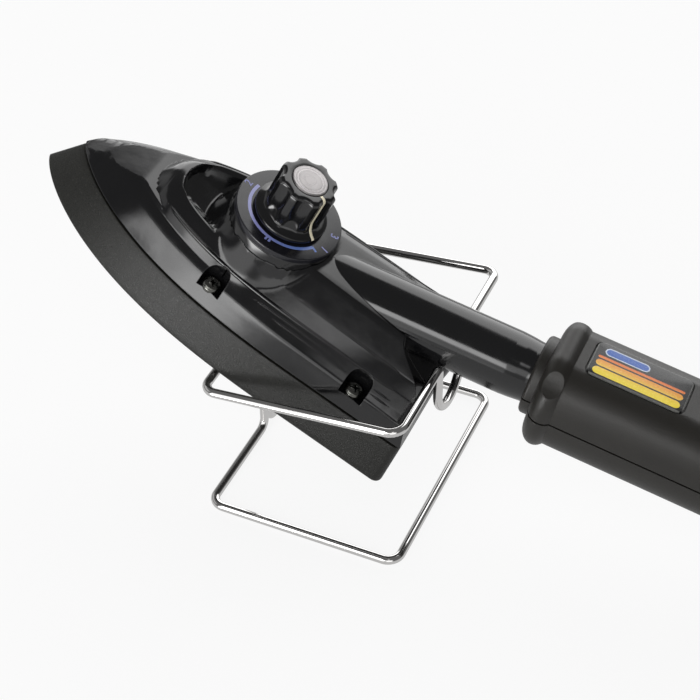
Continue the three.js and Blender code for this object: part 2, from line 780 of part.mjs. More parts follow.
function knobSolid() {
  const lobed = new THREE.Shape();
  const around = 72;
  for (let i = 0; i < around; i += 1) {
    const angle = (i / around) * 2 * Math.PI;
    const fluteCentre = knobLobeRadius + knobFluteOut;
    const turn = 2 * Math.PI / knobLobes;
    const off = ((angle + turn / 2) % turn) - turn / 2;
    const along = fluteCentre * Math.cos(off);
    const across = fluteCentre * Math.sin(off);
    const inFlute = Math.abs(across) < knobFlute;
    const radius = inFlute ? along - Math.sqrt(knobFlute ** 2 - across ** 2) : knobLobeRadius;
    const r = Math.min(knobLobeRadius, radius);
    lobed[i === 0 ? 'moveTo' : 'lineTo'](r * Math.cos(angle), r * Math.sin(angle));
  }
  const grip = slab(lobed, knobBottom + knobSkirtHeight / 2, knobTop);
  const skirt = turned([[0, knobBottom], [knobSkirtRadius, knobBottom],
    [knobSkirtRadius, knobBottom + knobSkirtHeight / 2],
    [knobLobeRadius + runGap, knobBottom + knobSkirtHeight], [0, knobBottom + knobSkirtHeight]], 0, 0, 36);
  const well = post(0, 0, knobBottom - overrun, knobBottom + knobWellDepth, nutCorner + runGap);
  const bore = post(0, 0, knobBottom, spindleTop() + seatGap, spindleRadius + seatGap);
  const capFloor = knobTop - capThickness + capProud - seatGap;
  const capSeat = post(0, 0, capFloor, knobTop + overrun, capRadius + seatGap);
  const grubHole = grubRod(grubRadius + seatGap, overrun);
  const slot = block(capRadius, knobLobeRadius + overrun, -pointerWidth / 2 - seatGap,
    pointerWidth / 2 + seatGap, knobTop - pointerDepth - seatGap, knobTop + overrun);
  return cut(joined(grip, skirt), well, bore, capSeat, grubHole, slot);
}

function spindleTop() {
  return knobTop - capThickness - overrun;
}

function grubRod(radius, extra) {
  const x1 = -spindleRadius - seatGap;
  const x0 = x1 - grubLength - extra;
  const level = (knobBottom + knobWellDepth + knobTop) / 2;
  return rod(x0, x1 + Math.min(extra, spindleRadius / 2), 0, level, radius, radius, 16);
}

function capSolid() {
  const bottom = knobTop - capThickness + capProud;
  return turned([[0, bottom], [capRadius, bottom], [capRadius, knobTop],
    [capRadius - capProud, knobTop + capProud], [0, knobTop + capProud]], 0, 0, 24);
}

function pointerSolid() {
  const start = capRadius + seatGap * 2;
  const end = knobLobeRadius + knobFluteOut - knobFlute - seatGap;
  return block(start, end, -pointerWidth / 2, pointerWidth / 2,
    knobTop - pointerDepth, knobTop + capProud / 2);
}

const bushTop = dialTop + nutThickness + seatGap * 2;
const bushBoreBottom = frameTop + seatGap + bushFloor;
const spindleBottom = bushBoreBottom + seatGap;
function spindleSolid() {
  return post(0, 0, spindleBottom, spindleTop(), spindleRadius);
}

function bushSolid() {
  const stem = post(0, 0, frameTop + seatGap, bushTop, bushRadius);
  const spigot = post(0, 0, frameTop - frameThickness - seatGap, frameTop + seatGap * 2, bushSpigot);
  const bore = post(0, 0, bushBoreBottom, bushTop + overrun, spindleRadius + runGap);
  const pinHole = post(0, 0, 0, spindleBottom, pinRadius + runGap, pinRadius + runGap, 16);
  return cut(joined(stem, spigot), bore, pinHole);
}

function nutSolid() {
  const bottom = dialTop + seatGap;
  return cut(post(0, 0, bottom, bottom + nutThickness, nutCorner, nutCorner, 6),
    post(0, 0, 0, bushTop + overrun, bushRadius + shankGap));
}

function pinSolid() {
  return post(0, 0, contactBladeTop + seatGap + pinTravel, bushBoreBottom, pinRadius, pinRadius, 16);
}

const frameBottom = clampTop + seatGap;
function thermostatFrameSolid() {
  const outer = block(frameFront, frameRear, -frameHalfWidth, frameHalfWidth, frameBottom, frameTop);
  const hollow = block(frameFront - overrun, frameRear - frameThickness, -frameHalfWidth - overrun,
    frameHalfWidth + overrun, frameBottom + frameThickness, frameTop - frameThickness);
  const bushHole = post(dialS, 0, 0, frameTop + overrun, bushSpigot + shankGap);
  const stackHole = post(stackS, 0, 0, frameTop + overrun, stackShank + shankGap, stackShank + shankGap, 10);
  const floor = block(frameFront - overrun, frameFront + frameHalfWidth * 2, -frameHalfWidth - overrun,
    frameHalfWidth + overrun, frameBottom - overrun, frameBottom + frameThickness + seatGap);
  const windowHalf = leadSide + leadRadius + shankGap;
  const window = block(frameRear - frameThickness - overrun, frameRear + overrun, -windowHalf, windowHalf,
    frameBottom + frameThickness, frameTop - frameThickness);
  return cut(outer, hollow, bushHole, stackHole, floor, window);
}

const upperCeramicTop = frameTop - frameThickness - seatGap;
const contactBladeTop = upperCeramicTop - ceramicHeight - seatGap;
const lowerCeramicTop = contactBladeTop - bladeThickness - seatGap;
const bimetalTop = lowerCeramicTop - ceramicHeight - seatGap;

function ceramicSolid(top) {
  return cut(post(stackS, 0, top - ceramicHeight, top, ceramicRadius),
    post(stackS, 0, 0, frameTop, stackShank + shankGap, stackShank + shankGap, 10));
}

// Each blade has a tail on its own side, which goes through the frame's window to its lead
function bladeSolid(top, thickness, side) {
  const rear = stackS + ceramicRadius;
  const [t0, t1] = [side * seatGap, side * (leadSide + leadRadius)].sort((a, b) => a - b);
  return cut(joined(
    block(bladeFront, rear, -bladeHalfWidth, bladeHalfWidth, top - thickness, top),
    block(rear - bladeHalfWidth, bladeTail, t0, t1, top - thickness, top),
  ),
    post(stackS, 0, 0, frameTop, stackShank + shankGap, stackShank + shankGap, 10));
}

// Handle

// Rounded section of the grip at x, grown by an amount, as a ring
function gripRing(x, grow, cornerSteps = 4) {
  const half = gripHalfWidth + grow;
  const tall = gripHalfHeight + grow;
  const radius = Math.max(gripWall, Math.min(gripCorner + grow, tall));
  const ring = [];
  for (let q = 0; q < 4; q += 1) {
    const [sy, sz] = [q === 0 || q === 3 ? 1 : -1, q < 2 ? 1 : -1];
    for (let k = 0; k <= cornerSteps; k += 1) {
      const angle = ((q + k / cornerSteps) * Math.PI) / 2;
      const y = sy * (half - radius) + radius * Math.cos(angle);
      ring.push([x, y, sz * (tall - radius) + radius * Math.sin(angle)]);
    }
  }
  return ring;
}

const bolsterStart = flangeStart + flangeLength;
const bolsterEnd = bolsterStart + bolsterLength;

function gripBlank() {
  const flange = rod(flangeStart, bolsterStart + overrun, 0, 0, flangeRadius);
  const hull = loft([
    gripRing(bolsterStart, -bolsterSwell * 2),
    gripRing(bolsterStart + bolsterSwell, 0),
    gripRing(bolsterStart + bolsterSwell * bolsterRiseShare, bolsterSwell),
    gripRing(bolsterEnd - bolsterSwell, bolsterSwell),
    gripRing(bolsterEnd, 0),
    gripRing(gripEnd - gripEndRound, 0),
    gripRing(gripEnd - gripEndRound * endRoundShare, -gripEndRound * endRiseShare),
    gripRing(gripEnd, -gripEndRound * endFaceShare),
  ]);
  const hollowStart = bolsterStart + gripFrontWall;
  const hollow = loft([
    gripRing(hollowStart, -gripWall),
    gripRing(gripEnd - gripRearWall - gripEndRound, -gripWall),
    gripRing(gripEnd - gripRearWall, -gripWall - gripEndRound * endRoundShare),
  ]);
  const collarWeb = gripRib(neckCollarStart - gripWall - seatGap, neckCollarStart - seatGap);
  const collarBack = gripRib(neckCollarStart + neckCollarLength + seatGap,
    neckCollarStart + neckCollarLength + seatGap + gripWall);
  const neckHole = rod(0, neckEnd + seatGap, 0, 0, neckRadius + seatGap);
  const body = cut(joined(flange, hull), hollow);
  const glandSeat = gripRib(gripEnd - gripRearWall - glandFlangeLength * 2 - seatGap * 2,
    gripEnd - gripRearWall - glandFlangeLength - seatGap * 2);
  const glandHole = rod(gripEnd - gripRearWall * 4, gripEnd + overrun, 0, 0, glandRadius + seatGap);
  const fluteSide = gripHalfWidth + bolsterSwell / 2 + fluteRadius - fluteDepth;
  const flutes = [-1, 1].map((side) => (
    rod(bolsterStart - overrun, bolsterEnd + overrun, side * fluteSide, fluteHeight, fluteRadius)));
  return cut(joined(body, collarWeb, collarBack, glandSeat), neckHole, glandHole, ...flutes);
}

// A cross wall that fills the grip's section
function gripRib(x0, x1) {
  return loft([gripRing(x0, -gripWall / 2), gripRing(x1, -gripWall / 2)]);
}

const gripReach = gripHalfWidth * 3;
function gripHalf(upper) {
  const half = upper
    ? block(0, gripEnd + overrun, -gripReach, gripReach, seamGap / 2, gripReach)
    : block(0, gripEnd + overrun, -gripReach, gripReach, -gripReach, -seamGap / 2);
  let body = gripBlank().intersect(half);
  for (const x of [gripScrewFront, gripScrewRear]) {
    const inside = gripHalfHeight - gripWall / 2;
    const [z0, z1] = upper ? [seamGap / 2, inside] : [-inside, -seamGap / 2];
    body = body.add(post(x, 0, z0, z1, gripPost));
    const hole = gripScrewShank + shankGap;
    const [h0, h1] = upper ? [-overrun, gripScrewTip + seatGap] : [-gripReach, gripReach];
    body = body.subtract(post(x, 0, h0, h1, hole, hole, 16));
    if (upper) continue;
    body = body.subtract(post(x, 0, -gripReach, -gripScrewFloor, gripScrewHead + shankGap));
  }
  return body;
}

// The upper half has a shallow seat for the label
function gripUpperSolid() {
  return gripHalf(true).subtract(labelPlate(labelSink, seatGap, overrun));
}

// The lower half carries the terminals and the cord's saddle on cross bars
function gripLowerSolid() {
  const inside = gripHalfHeight - gripWall / 2;
  const half = gripHalfWidth - gripWall / 2;
  const racks = [terminalStart + rackWidth, terminalStart + terminalLength - rackWidth * 2].map((x) => (
    block(x, x + rackWidth, -half, half, -inside, -terminalHeight / 2 - seatGap)));
  const saddle = block(clampBarPlace, clampBarPlace + clampBarLength, -clampBarHalfWidth, clampBarHalfWidth,
    -inside, -clampSaddleHeight);
  const grip = gripHalf(false);
  const hull = loft([gripRing(terminalStart, 0), gripRing(gripEnd - gripEndRound, 0)]);
  const centre = clampBarPlace + clampBarLength / 2;
  const drill = clampBarScrewRadius + shankGap;
  const holes = [-1, 1].map((side) => (
    post(centre, side * clampBarScrewSide, -clampSaddleHeight * saddleHoleShare, 0, drill, drill, 12)));
  return cut(joined(grip, ...racks.map((bar) => bar.intersect(hull)), saddle.intersect(hull)), ...holes);
}

// A thin plate with round corners on the grip's flat top
function labelPlate(sink, grow, extra) {
  const [x0, x1] = [labelStart - grow, labelEnd + grow];
  const w = labelHalfWidth + grow;
  const r = labelCorner + grow;
  const shape = new THREE.Shape();
  shape.absarc(x1 - r, w - r, r, 0, Math.PI / 2);
  shape.absarc(x0 + r, w - r, r, Math.PI / 2, Math.PI);
  shape.absarc(x0 + r, -w + r, r, -Math.PI, -Math.PI / 2);
  shape.absarc(x1 - r, -w + r, r, -Math.PI / 2, 0);
  const bottom = gripHalfHeight - sink;
  return slab(shape, bottom, bottom + labelThickness + extra);
}

function terminalSolid() {
  const low = -terminalHeight / 2;
  const high = terminalHeight / 2;
  const end = terminalStart + terminalLength;
  const middle = terminalStart + terminalLength / 2;
  const body = block(terminalStart, end, -terminalHalfWidth, terminalHalfWidth, low, high);
  const tools = [-1, 1].flatMap((side) => [
    post(middle, side * terminalScrewSide, 0, high + overrun, terminalScrewRadius + shankGap),
    rod(terminalStart - overrun, middle, side * terminalScrewSide, low / 2,
      leadRadius + seatGap, leadRadius + seatGap, 12),
  ]);
  return cut(body, ...tools);
}

function terminalScrewSolid(side) {
  const x = terminalStart + terminalLength / 2;
  const y = side * terminalScrewSide;
  const top = terminalHeight / 2;
  const body = post(x, y, seatGap, seatGap + terminalScrewHeight, terminalScrewRadius);
  const reach = terminalScrewRadius * 2;
  const half = leadRadius / 3;
  const slot = block(x - reach, x + reach, y - half, y + half, terminalScrewHeight - leadRadius / 2, top);
  return cut(body, slot);
}

const clampBarBottom = -clampSaddleHeight + glandBore * cordHeightShare;
function cordClampSolid() {
  const centre = clampBarPlace + clampBarLength / 2;
  const bar = block(clampBarPlace, clampBarPlace + clampBarLength, -clampBarHalfWidth, clampBarHalfWidth,
    clampBarBottom, clampBarBottom + clampBarHeight);
  const legs = [-1, 1].map((side) => post(centre, side * clampBarScrewSide, -clampSaddleHeight + seatGap,
    clampBarBottom + clampBarHeight / 2, clampBarLength / clampLegShare));
  const holes = [-1, 1].map((side) => post(centre, side * clampBarScrewSide, -gripReach, gripReach,
    clampBarScrewRadius + shankGap, clampBarScrewRadius + shankGap, 12));
  return cut(joined(bar, ...legs), ...holes);
}

function glandSolid() {
  const flangeX = gripEnd - gripRearWall - seatGap - glandFlangeLength;
  const body = joined(
    rod(flangeX, flangeX + glandFlangeLength, 0, 0, glandFlange),
    rod(flangeX, gripEnd + glandOut, 0, 0, glandRadius, glandRadius * glandTaperShare),
  );
  return cut(body, rod(flangeX - overrun, gripEnd + glandOut + overrun, 0, 0, glandBore));
}

// A heater lead runs from the terminals through the neck's bore to the thermostat's blades
function leadGeometry(side, end) {
  const inHandle = (x, y, z) => new THREE.Vector3(x, side * y, z)
    .applyAxisAngle(new THREE.Vector3(0, 1, 0), -neckRise).add(new THREE.Vector3(0, 0, neckHeight));
  const path = new THREE.CatmullRomCurve3([
    inHandle(terminalStart + terminalLength / 3, terminalScrewSide, -terminalHeight / 4),
    inHandle(terminalStart - terminalLength / 3, terminalScrewSide, -terminalHeight / 4),
    inHandle(gripScrewFront, gripPost + leadRadius * 2, 0),
    inHandle(neckEnd + leadRadius, leadSide, 0),
    inHandle((neckEnd + neckStart) / 2, leadSide, 0),
    inHandle(neckStart / 2, leadSide, 0),
    new THREE.Vector3(bladeTail + leadRadius * 5, side * leadSide, end + leadRadius * 2),
    new THREE.Vector3(bladeTail + leadRadius * 2, side * leadSide, end),
    new THREE.Vector3(bladeTail + seatGap, side * leadSide, end),
  ], false, 'centripetal');
  const section = new THREE.Shape();
  for (let k = 0; k < 6; k += 1) {
    const angle = (k / 6) * 2 * Math.PI;
    section[k === 0 ? 'moveTo' : 'lineTo'](leadRadius * Math.cos(angle), leadRadius * Math.sin(angle));
  }
  return new THREE.ExtrudeGeometry(section, { steps: 26, extrudePath: path, bevelEnabled: false });
}

// Assembly

const model = new THREE.Group();
piece('wire_stand', standSolid(), finish.chrome, model);

const iron = new THREE.Group();
iron.position.set(heelX, 0, heelZ);
iron.rotation.y = solePitch;
model.add(iron);

const dial = new THREE.Group();
dial.position.set(dialS, 0, 0);
iron.add(dial);

const knob = new THREE.Group();
knob.rotation.z = lowMark;
dial.add(knob);

const handle = new THREE.Group();
handle.position.set(0, 0, neckHeight);
handle.rotation.y = -neckRise;
iron.add(handle);

piece('sole_plate', soleSolid(), finish.coat, iron);
piece('heating_element', layer(stackInset, elementBottom, elementThickness, clampPost + seatGap),
  finish.steel, iron);
piece('insulation_sheet', layer(stackInset, sheetBottom, sheetThickness, clampShank + shankGap),
  finish.mica, iron);
piece('clamp_plate', clampPlateSolid(), finish.steel, iron);
for (const [name, s] of [['clamp_screw_front', clampScrewFront], ['clamp_screw_rear', clampScrewRear]]) {
  piece(name, panScrew(s, 0, clampTop + seatGap, clampHead, clampHeadHeight, clampShank, clampScrewTip()),
    finish.steel, iron);
}

piece('cover', coverSolid(), finish.gloss, iron);
const screwNames = ['cover_screw_front_near', 'cover_screw_front_far',
  'cover_screw_rear_near', 'cover_screw_rear_far'];
coverScrewPlaces().forEach(([s, t], i) => {
  const screw = panScrew(s, t, pocketFloor + seatGap, screwHead, screwHeadHeight, screwShank, screwTip);
  piece(screwNames[i], screw, finish.darkSteel, iron);
});

piece('thermostat_frame', thermostatFrameSolid(), finish.steel, iron);
piece('ceramic_spacer_upper', ceramicSolid(upperCeramicTop), finish.ceramic, iron);
piece('contact_blade', bladeSolid(contactBladeTop, bladeThickness, 1), finish.brass, iron);
piece('ceramic_spacer_lower', ceramicSolid(lowerCeramicTop), finish.ceramic, iron);
piece('bimetal_blade', bladeSolid(bimetalTop, bimetalThickness, -1), finish.brass, iron);
piece('stack_screw', panScrew(stackS, 0, frameTop + seatGap, stackHead, stackHeadHeight, stackShank,
  frameBottom + seatGap), finish.steel, iron);

piece('dial_disc', dialSolid(), finish.gloss, iron);
piece('spindle_bush', bushSolid(), finish.brass, dial);
piece('bush_nut', nutSolid(), finish.brass, dial);
piece('adjusting_pin', pinSolid(), finish.ceramic, dial);
piece('spindle', spindleSolid(), finish.steel, knob);
piece('knob_body', knobSolid(), finish.gloss, knob);
piece('knob_cap', capSolid(), finish.aluminium, knob);
piece('knob_pointer', pointerSolid(), finish.cream, knob);
piece('knob_grub_screw', grubRod(grubRadius, 0), finish.steel, knob);

piece('grip_upper', gripUpperSolid(), finish.satin, handle);
piece('grip_lower', gripLowerSolid(), finish.satin, handle);
[gripScrewFront, gripScrewRear].forEach((x, i) => {
  const screw = panScrew(x, 0, gripScrewFloor + seatGap, gripScrewHead, gripScrewHeadHeight,
    gripScrewShank, -gripScrewTip);
  piece(i === 0 ? 'grip_screw_front' : 'grip_screw_rear', screw.rotate([180, 0, 0]), finish.steel, handle);
});
piece('label_plate', labelPlate(labelSink - seatGap, 0, 0), finish.label, handle);
piece('terminal_block', terminalSolid(), finish.ceramic, handle);
piece('terminal_screw_near', terminalScrewSolid(-1), finish.brass, handle);
piece('terminal_screw_far', terminalScrewSolid(1), finish.brass, handle);
piece('cord_clamp', cordClampSolid(), finish.satin, handle);
for (const [name, side] of [['clamp_bar_screw_near', -1], ['clamp_bar_screw_far', 1]]) {
  const screw = panScrew(clampBarPlace + clampBarLength / 2, side * clampBarScrewSide,
    clampBarBottom + clampBarHeight + seatGap, clampBarScrewHead, clampBarScrewHeight, clampBarScrewRadius,
    -clampSaddleHeight * 2);
  piece(name, screw, finish.steel, handle);
}
piece('cord_gland', glandSolid(), finish.satin, handle);
piece('lead_wire_near', toSolid(leadGeometry(-1, bimetalTop - bimetalThickness / 2)), finish.sleeve, iron);
piece('lead_wire_far', toSolid(leadGeometry(1, contactBladeTop - bladeThickness / 2)), finish.sleeve, iron);

// The origin is the middle of the box at the level on which the stand rests
const box = new THREE.Box3().setFromObject(model, true);
const middle = box.getCenter(new THREE.Vector3());
const group = new THREE.Group();
model.position.set(-middle.x, -middle.y, -box.min.z);
group.add(model);
group.updateMatrixWorld(true);

export default group;
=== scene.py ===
import json
import math

import bmesh
import bpy
import numpy as np
from mathutils import Matrix


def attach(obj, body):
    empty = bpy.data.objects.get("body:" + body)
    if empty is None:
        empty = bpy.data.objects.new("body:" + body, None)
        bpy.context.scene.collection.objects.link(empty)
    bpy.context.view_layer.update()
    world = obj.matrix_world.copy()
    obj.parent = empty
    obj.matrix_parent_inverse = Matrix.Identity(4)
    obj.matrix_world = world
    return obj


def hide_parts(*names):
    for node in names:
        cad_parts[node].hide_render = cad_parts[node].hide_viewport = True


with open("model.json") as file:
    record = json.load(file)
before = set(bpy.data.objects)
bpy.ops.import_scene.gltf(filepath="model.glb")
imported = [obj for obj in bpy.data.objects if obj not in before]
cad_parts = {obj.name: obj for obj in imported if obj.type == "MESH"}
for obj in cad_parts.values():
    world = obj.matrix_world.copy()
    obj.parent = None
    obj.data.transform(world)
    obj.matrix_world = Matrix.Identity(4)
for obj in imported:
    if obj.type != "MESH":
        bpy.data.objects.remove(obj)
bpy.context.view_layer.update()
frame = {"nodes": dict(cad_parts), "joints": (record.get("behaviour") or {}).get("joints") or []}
print("frame loaded")

# Places. All sizes below are millimetres, and mm turns them into metres. One radian is so many degrees.
mm = 0.001
degree = 180 / math.pi
knobJoint = next(joint for joint in frame["joints"] if joint["name"] == "knob_turn")
ironSizes = {"dialS": -52, "dialTop": 30.2, "neckHeight": 29.6, "neckRise": 15.11, "lowMark": -27}
ironUp = -np.array(knobJoint["axis"]) / np.linalg.norm(knobJoint["axis"])
ironAlong = np.array([ironUp[2], 0, -ironUp[0]])
ironAcross = np.array([0, 1, 0])
ironHeel = -mm * (ironSizes["dialS"] * ironAlong + ironSizes["dialTop"] * ironUp) + knobJoint["pos_m"]
solePitch = math.atan2(ironUp[0], ironUp[2])
neckRise = math.radians(ironSizes["neckRise"])
lowMark = math.radians(ironSizes["lowMark"])


# A point of the iron: s along the sole from the heel, t across, h above the sole
def onIron(s, t, h):
    s, t, h = np.broadcast_arrays(s, t, h)
    return ironHeel + mm * (s[..., None] * ironAlong + t[..., None] * ironAcross + h[..., None] * ironUp)


# A point of the handle: x along the neck's axis, which starts above the heel and rises, y across, z above
def onHandle(x, y, z):
    rise, run = math.sin(neckRise), math.cos(neckRise)
    return onIron(x * run - z * rise, y, ironSizes["neckHeight"] + x * rise + z * run)


# A point of the knob: x towards the pointer, which starts at the low mark, h above the sole
def onKnob(x, y, h):
    rise, run = math.sin(lowMark), math.cos(lowMark)
    return onIron(ironSizes["dialS"] + x * run - y * rise, x * rise + y * run, h)


# Point of the dial's own axes, x towards the handle
def onDial(x, y, h):
    return onIron(ironSizes["dialS"] + x, y, h)


# Meshes from grids of points

# A grid of points, rows by columns, as a closed skin: each row is a closed ring, and the first and
# last rows are either closed by a fan to their middle or joined to each other
def ringSkin(name, points, joinRows=False):
    points = np.array(points)
    rows, columns = points.shape[:2]
    index = np.arange(rows * columns).reshape(rows, columns)
    nextColumn = np.roll(index, -1, axis=1)
    if joinRows:
        low, high = index, np.roll(index, -1, axis=0)
        lowNext, highNext = nextColumn, np.roll(nextColumn, -1, axis=0)
    else:
        low, high, lowNext, highNext = index[:-1], index[1:], nextColumn[:-1], nextColumn[1:]
    faces = np.stack([low, lowNext, highNext, high], axis=-1).reshape(-1, 4).tolist()
    vertices = points.reshape(-1, 3)
    if not joinRows:
        vertices = np.vstack([vertices, points[0].mean(0), points[-1].mean(0)])
        start = np.full(columns, rows * columns)
        faces += np.stack([start, nextColumn[0], index[0]], axis=-1).tolist()
        faces += np.stack([start + 1, index[-1], nextColumn[-1]], axis=-1).tolist()
    return meshObject(name, vertices, faces)


# A new object for a mesh, curve, lamp or lens, linked to the scene
def addObject(name, data):
    made = bpy.data.objects.new(name, data)
    bpy.context.scene.collection.objects.link(made)
    return made


# An object from points and faces, with a tidied skin
def meshObject(name, vertices, faces):
    mesh = bpy.data.meshes.new(name)
    mesh.from_pydata(vertices.tolist(), [], faces)
    tidyMesh(mesh)
    return addObject(name, mesh)


# Angles round a full turn, and from 0 to a quarter turn
def fullTurn(count):
    return np.linspace(0, 2 * np.pi, count, endpoint=False)


def quarterTurn(count):
    return np.linspace(0, np.pi / 2, count)


# A cosine or sine drawn towards the corners, as on a superellipse
def squared(wave, share):
    return np.sign(wave) * np.abs(wave) ** share


# Merges points nearer than a distance in metres, and turns all faces outwards
def tidyMesh(mesh, distance=2e-7):
    work = bmesh.new()
    work.from_mesh(mesh)
    bmesh.ops.remove_doubles(work, verts=work.verts, dist=distance)
    bmesh.ops.recalc_face_normals(work, faces=work.faces)
    work.to_mesh(mesh)
    work.free()


join, cut, trim = "UNION", "DIFFERENCE", "INTERSECT"


# Joins, cuts or trims a closed piece by other closed pieces, in order, and uses them up
def carve(piece, *steps):
    for operation, tool in steps:
        carving = piece.modifiers.new(operation, "BOOLEAN")
        carving.operation = operation
        carving.object = tool
        carving.solver = "MANIFOLD"
    graph = bpy.context.evaluated_depsgraph_get()
    carved = bpy.data.meshes.new_from_object(piece.evaluated_get(graph))
    piece.modifiers.clear()
    piece.data = carved
    tidyMesh(carved, 1e-7)
    for tool in {tool for operation, tool in steps}:
        bpy.data.objects.remove(tool)
    return piece


# A rounded profile, for many lines at once (lines by corners by 2): each inner corner becomes the curve
# (1 - u)^2 start + 2 u (1 - u) corner + u^2 end, from a reach before it to a reach after it. The reach is
# at most 0.45 of either side.
def roundCorners(line, reach, steps=5):
    before, at, after = line[:, :-2], line[:, 1:-1], line[:, 2:]
    back, ahead = before - at, after - at
    backLength = np.maximum(np.linalg.norm(back, axis=-1, keepdims=True), 1e-9)
    aheadLength = np.maximum(np.linalg.norm(ahead, axis=-1, keepdims=True), 1e-9)
    reach = np.minimum(reach, 0.45 * np.minimum(backLength, aheadLength))
    start, end = at + back / backLength * reach, at + ahead / aheadLength * reach
    share = np.linspace(0, 1, steps)[None, None, :, None]
    start, at, end = start[:, :, None], at[:, :, None], end[:, :, None]
    curve = (1 - share) ** 2 * start + 2 * share * (1 - share) * at + share ** 2 * end
    return np.concatenate([line[:, :1], curve.reshape(len(line), -1, 2), line[:, -1:]], axis=1)


# A turned piece: pairs of radius and height, rounded at the inner corners, swept round a place's axis
def turnedPiece(name, profile, place, reach=0.3, sides=64, steps=5):
    line = roundCorners(np.array([profile], float), reach, steps)[0]
    angle = fullTurn(sides)
    radius, height = line[:, :1], line[:, 1:]
    return ringSkin(name, place(radius * np.cos(angle), radius * np.sin(angle), height))


# A plain plug of one radius between two heights
def plugPiece(name, radius, low, high, place, reach=0.1, sides=40):
    return turnedPiece(name, [[0, low], [radius, low], [radius, high], [0, high]], place, reach, sides)


# Places round a point of the iron or of the handle, for plugs and holes that stand there
def nearIron(s, t=0):
    return lambda x, y, h: onIron(s + x, t + y, h)


def nearHandle(x, y=0):
    return lambda across, side, h: onHandle(x + across, y + side, h)


# A turned piece along the handle's axis or beside it, and a plain plug there
def rodPiece(name, profile, y=0, z=0, reach=0.3, sides=64):
    return turnedPiece(name, profile, lambda across, up, x: onHandle(x, y + across, z + up), reach, sides)


def rodPlug(name, radius, low, high, y=0, z=0, reach=0.1, sides=64):
    return rodPiece(name, [[0, low], [radius, low], [radius, high], [0, high]], y, z, reach, sides)


# A round tube along a line of points, with one radius or one for each: its rings lie across the given
# directions, and start on the same side of a guiding direction that the line never takes
def tube(name, line, along, guide, radius, sides, closed=False):
    along = along / np.linalg.norm(along, axis=1, keepdims=True)
    first = np.cross(along, guide)
    first /= np.linalg.norm(first, axis=1, keepdims=True)
    second = np.cross(along, first)
    angle = fullTurn(sides)[None, :, None]
    ring = np.cos(angle) * first[:, None] + np.sin(angle) * second[:, None]
    return ringSkin(name, line[:, None] + np.reshape(radius, (-1, 1, 1)) * ring, closed)


# An outline in the plane of a place, pushed up from one height to another
def prismPiece(name, outline, low, high, place):
    x, y = np.array(outline, float).T
    return ringSkin(name, place(x[None], y[None], np.array([[low], [high]], float)))


# A box between two values on each axis of a place
def boxPiece(name, x0, x1, y0, y1, z0, z1, place):
    return prismPiece(name, [[x0, y0], [x1, y0], [x1, y1], [x0, y1]], z0, z1, place)


# Smooth shading, sharp where faces meet at more than an angle in degrees
def smooth(piece, angle=28):
    piece.data.shade_smooth()
    piece.data.set_sharp_from_angle(angle=math.radians(angle))
    return piece


# Finishes

white = (1, 1, 1)


# A number field of a material's node tree, so that shader maths reads as an expression
class Field:
    def __init__(self, shade, socket):
        self.shade, self.socket = shade, socket

    # A maths node of any kind over these values
    def maths(self, operation, *values):
        return self.shade.node("ShaderNodeMath", {"operation": operation}, dict(enumerate(values)))

    __add__ = lambda self, other: self.maths("ADD", self, other)
    __radd__ = lambda self, other: self.maths("ADD", other, self)
    __sub__ = lambda self, other: self.maths("SUBTRACT", self, other)
    __rsub__ = lambda self, other: self.maths("SUBTRACT", other, self)
    __mul__ = lambda self, other: self.maths("MULTIPLY", self, other)
    __rmul__ = lambda self, other: self.maths("MULTIPLY", other, self)
    __truediv__ = lambda self, other: self.maths("DIVIDE", self, other)
    __rtruediv__ = lambda self, other: self.maths("DIVIDE", other, self)
    __pow__ = lambda self, other: self.maths("POWER", self, other)

    # 1 where this value is below the other, else 0, and the same for above
    def below(self, other):
        return self.maths("LESS_THAN", self, other)

    def above(self, other):
        return self.maths("GREATER_THAN", self, other)

    # The value without its sign
    def size(self):
        return self.maths("ABSOLUTE", self)


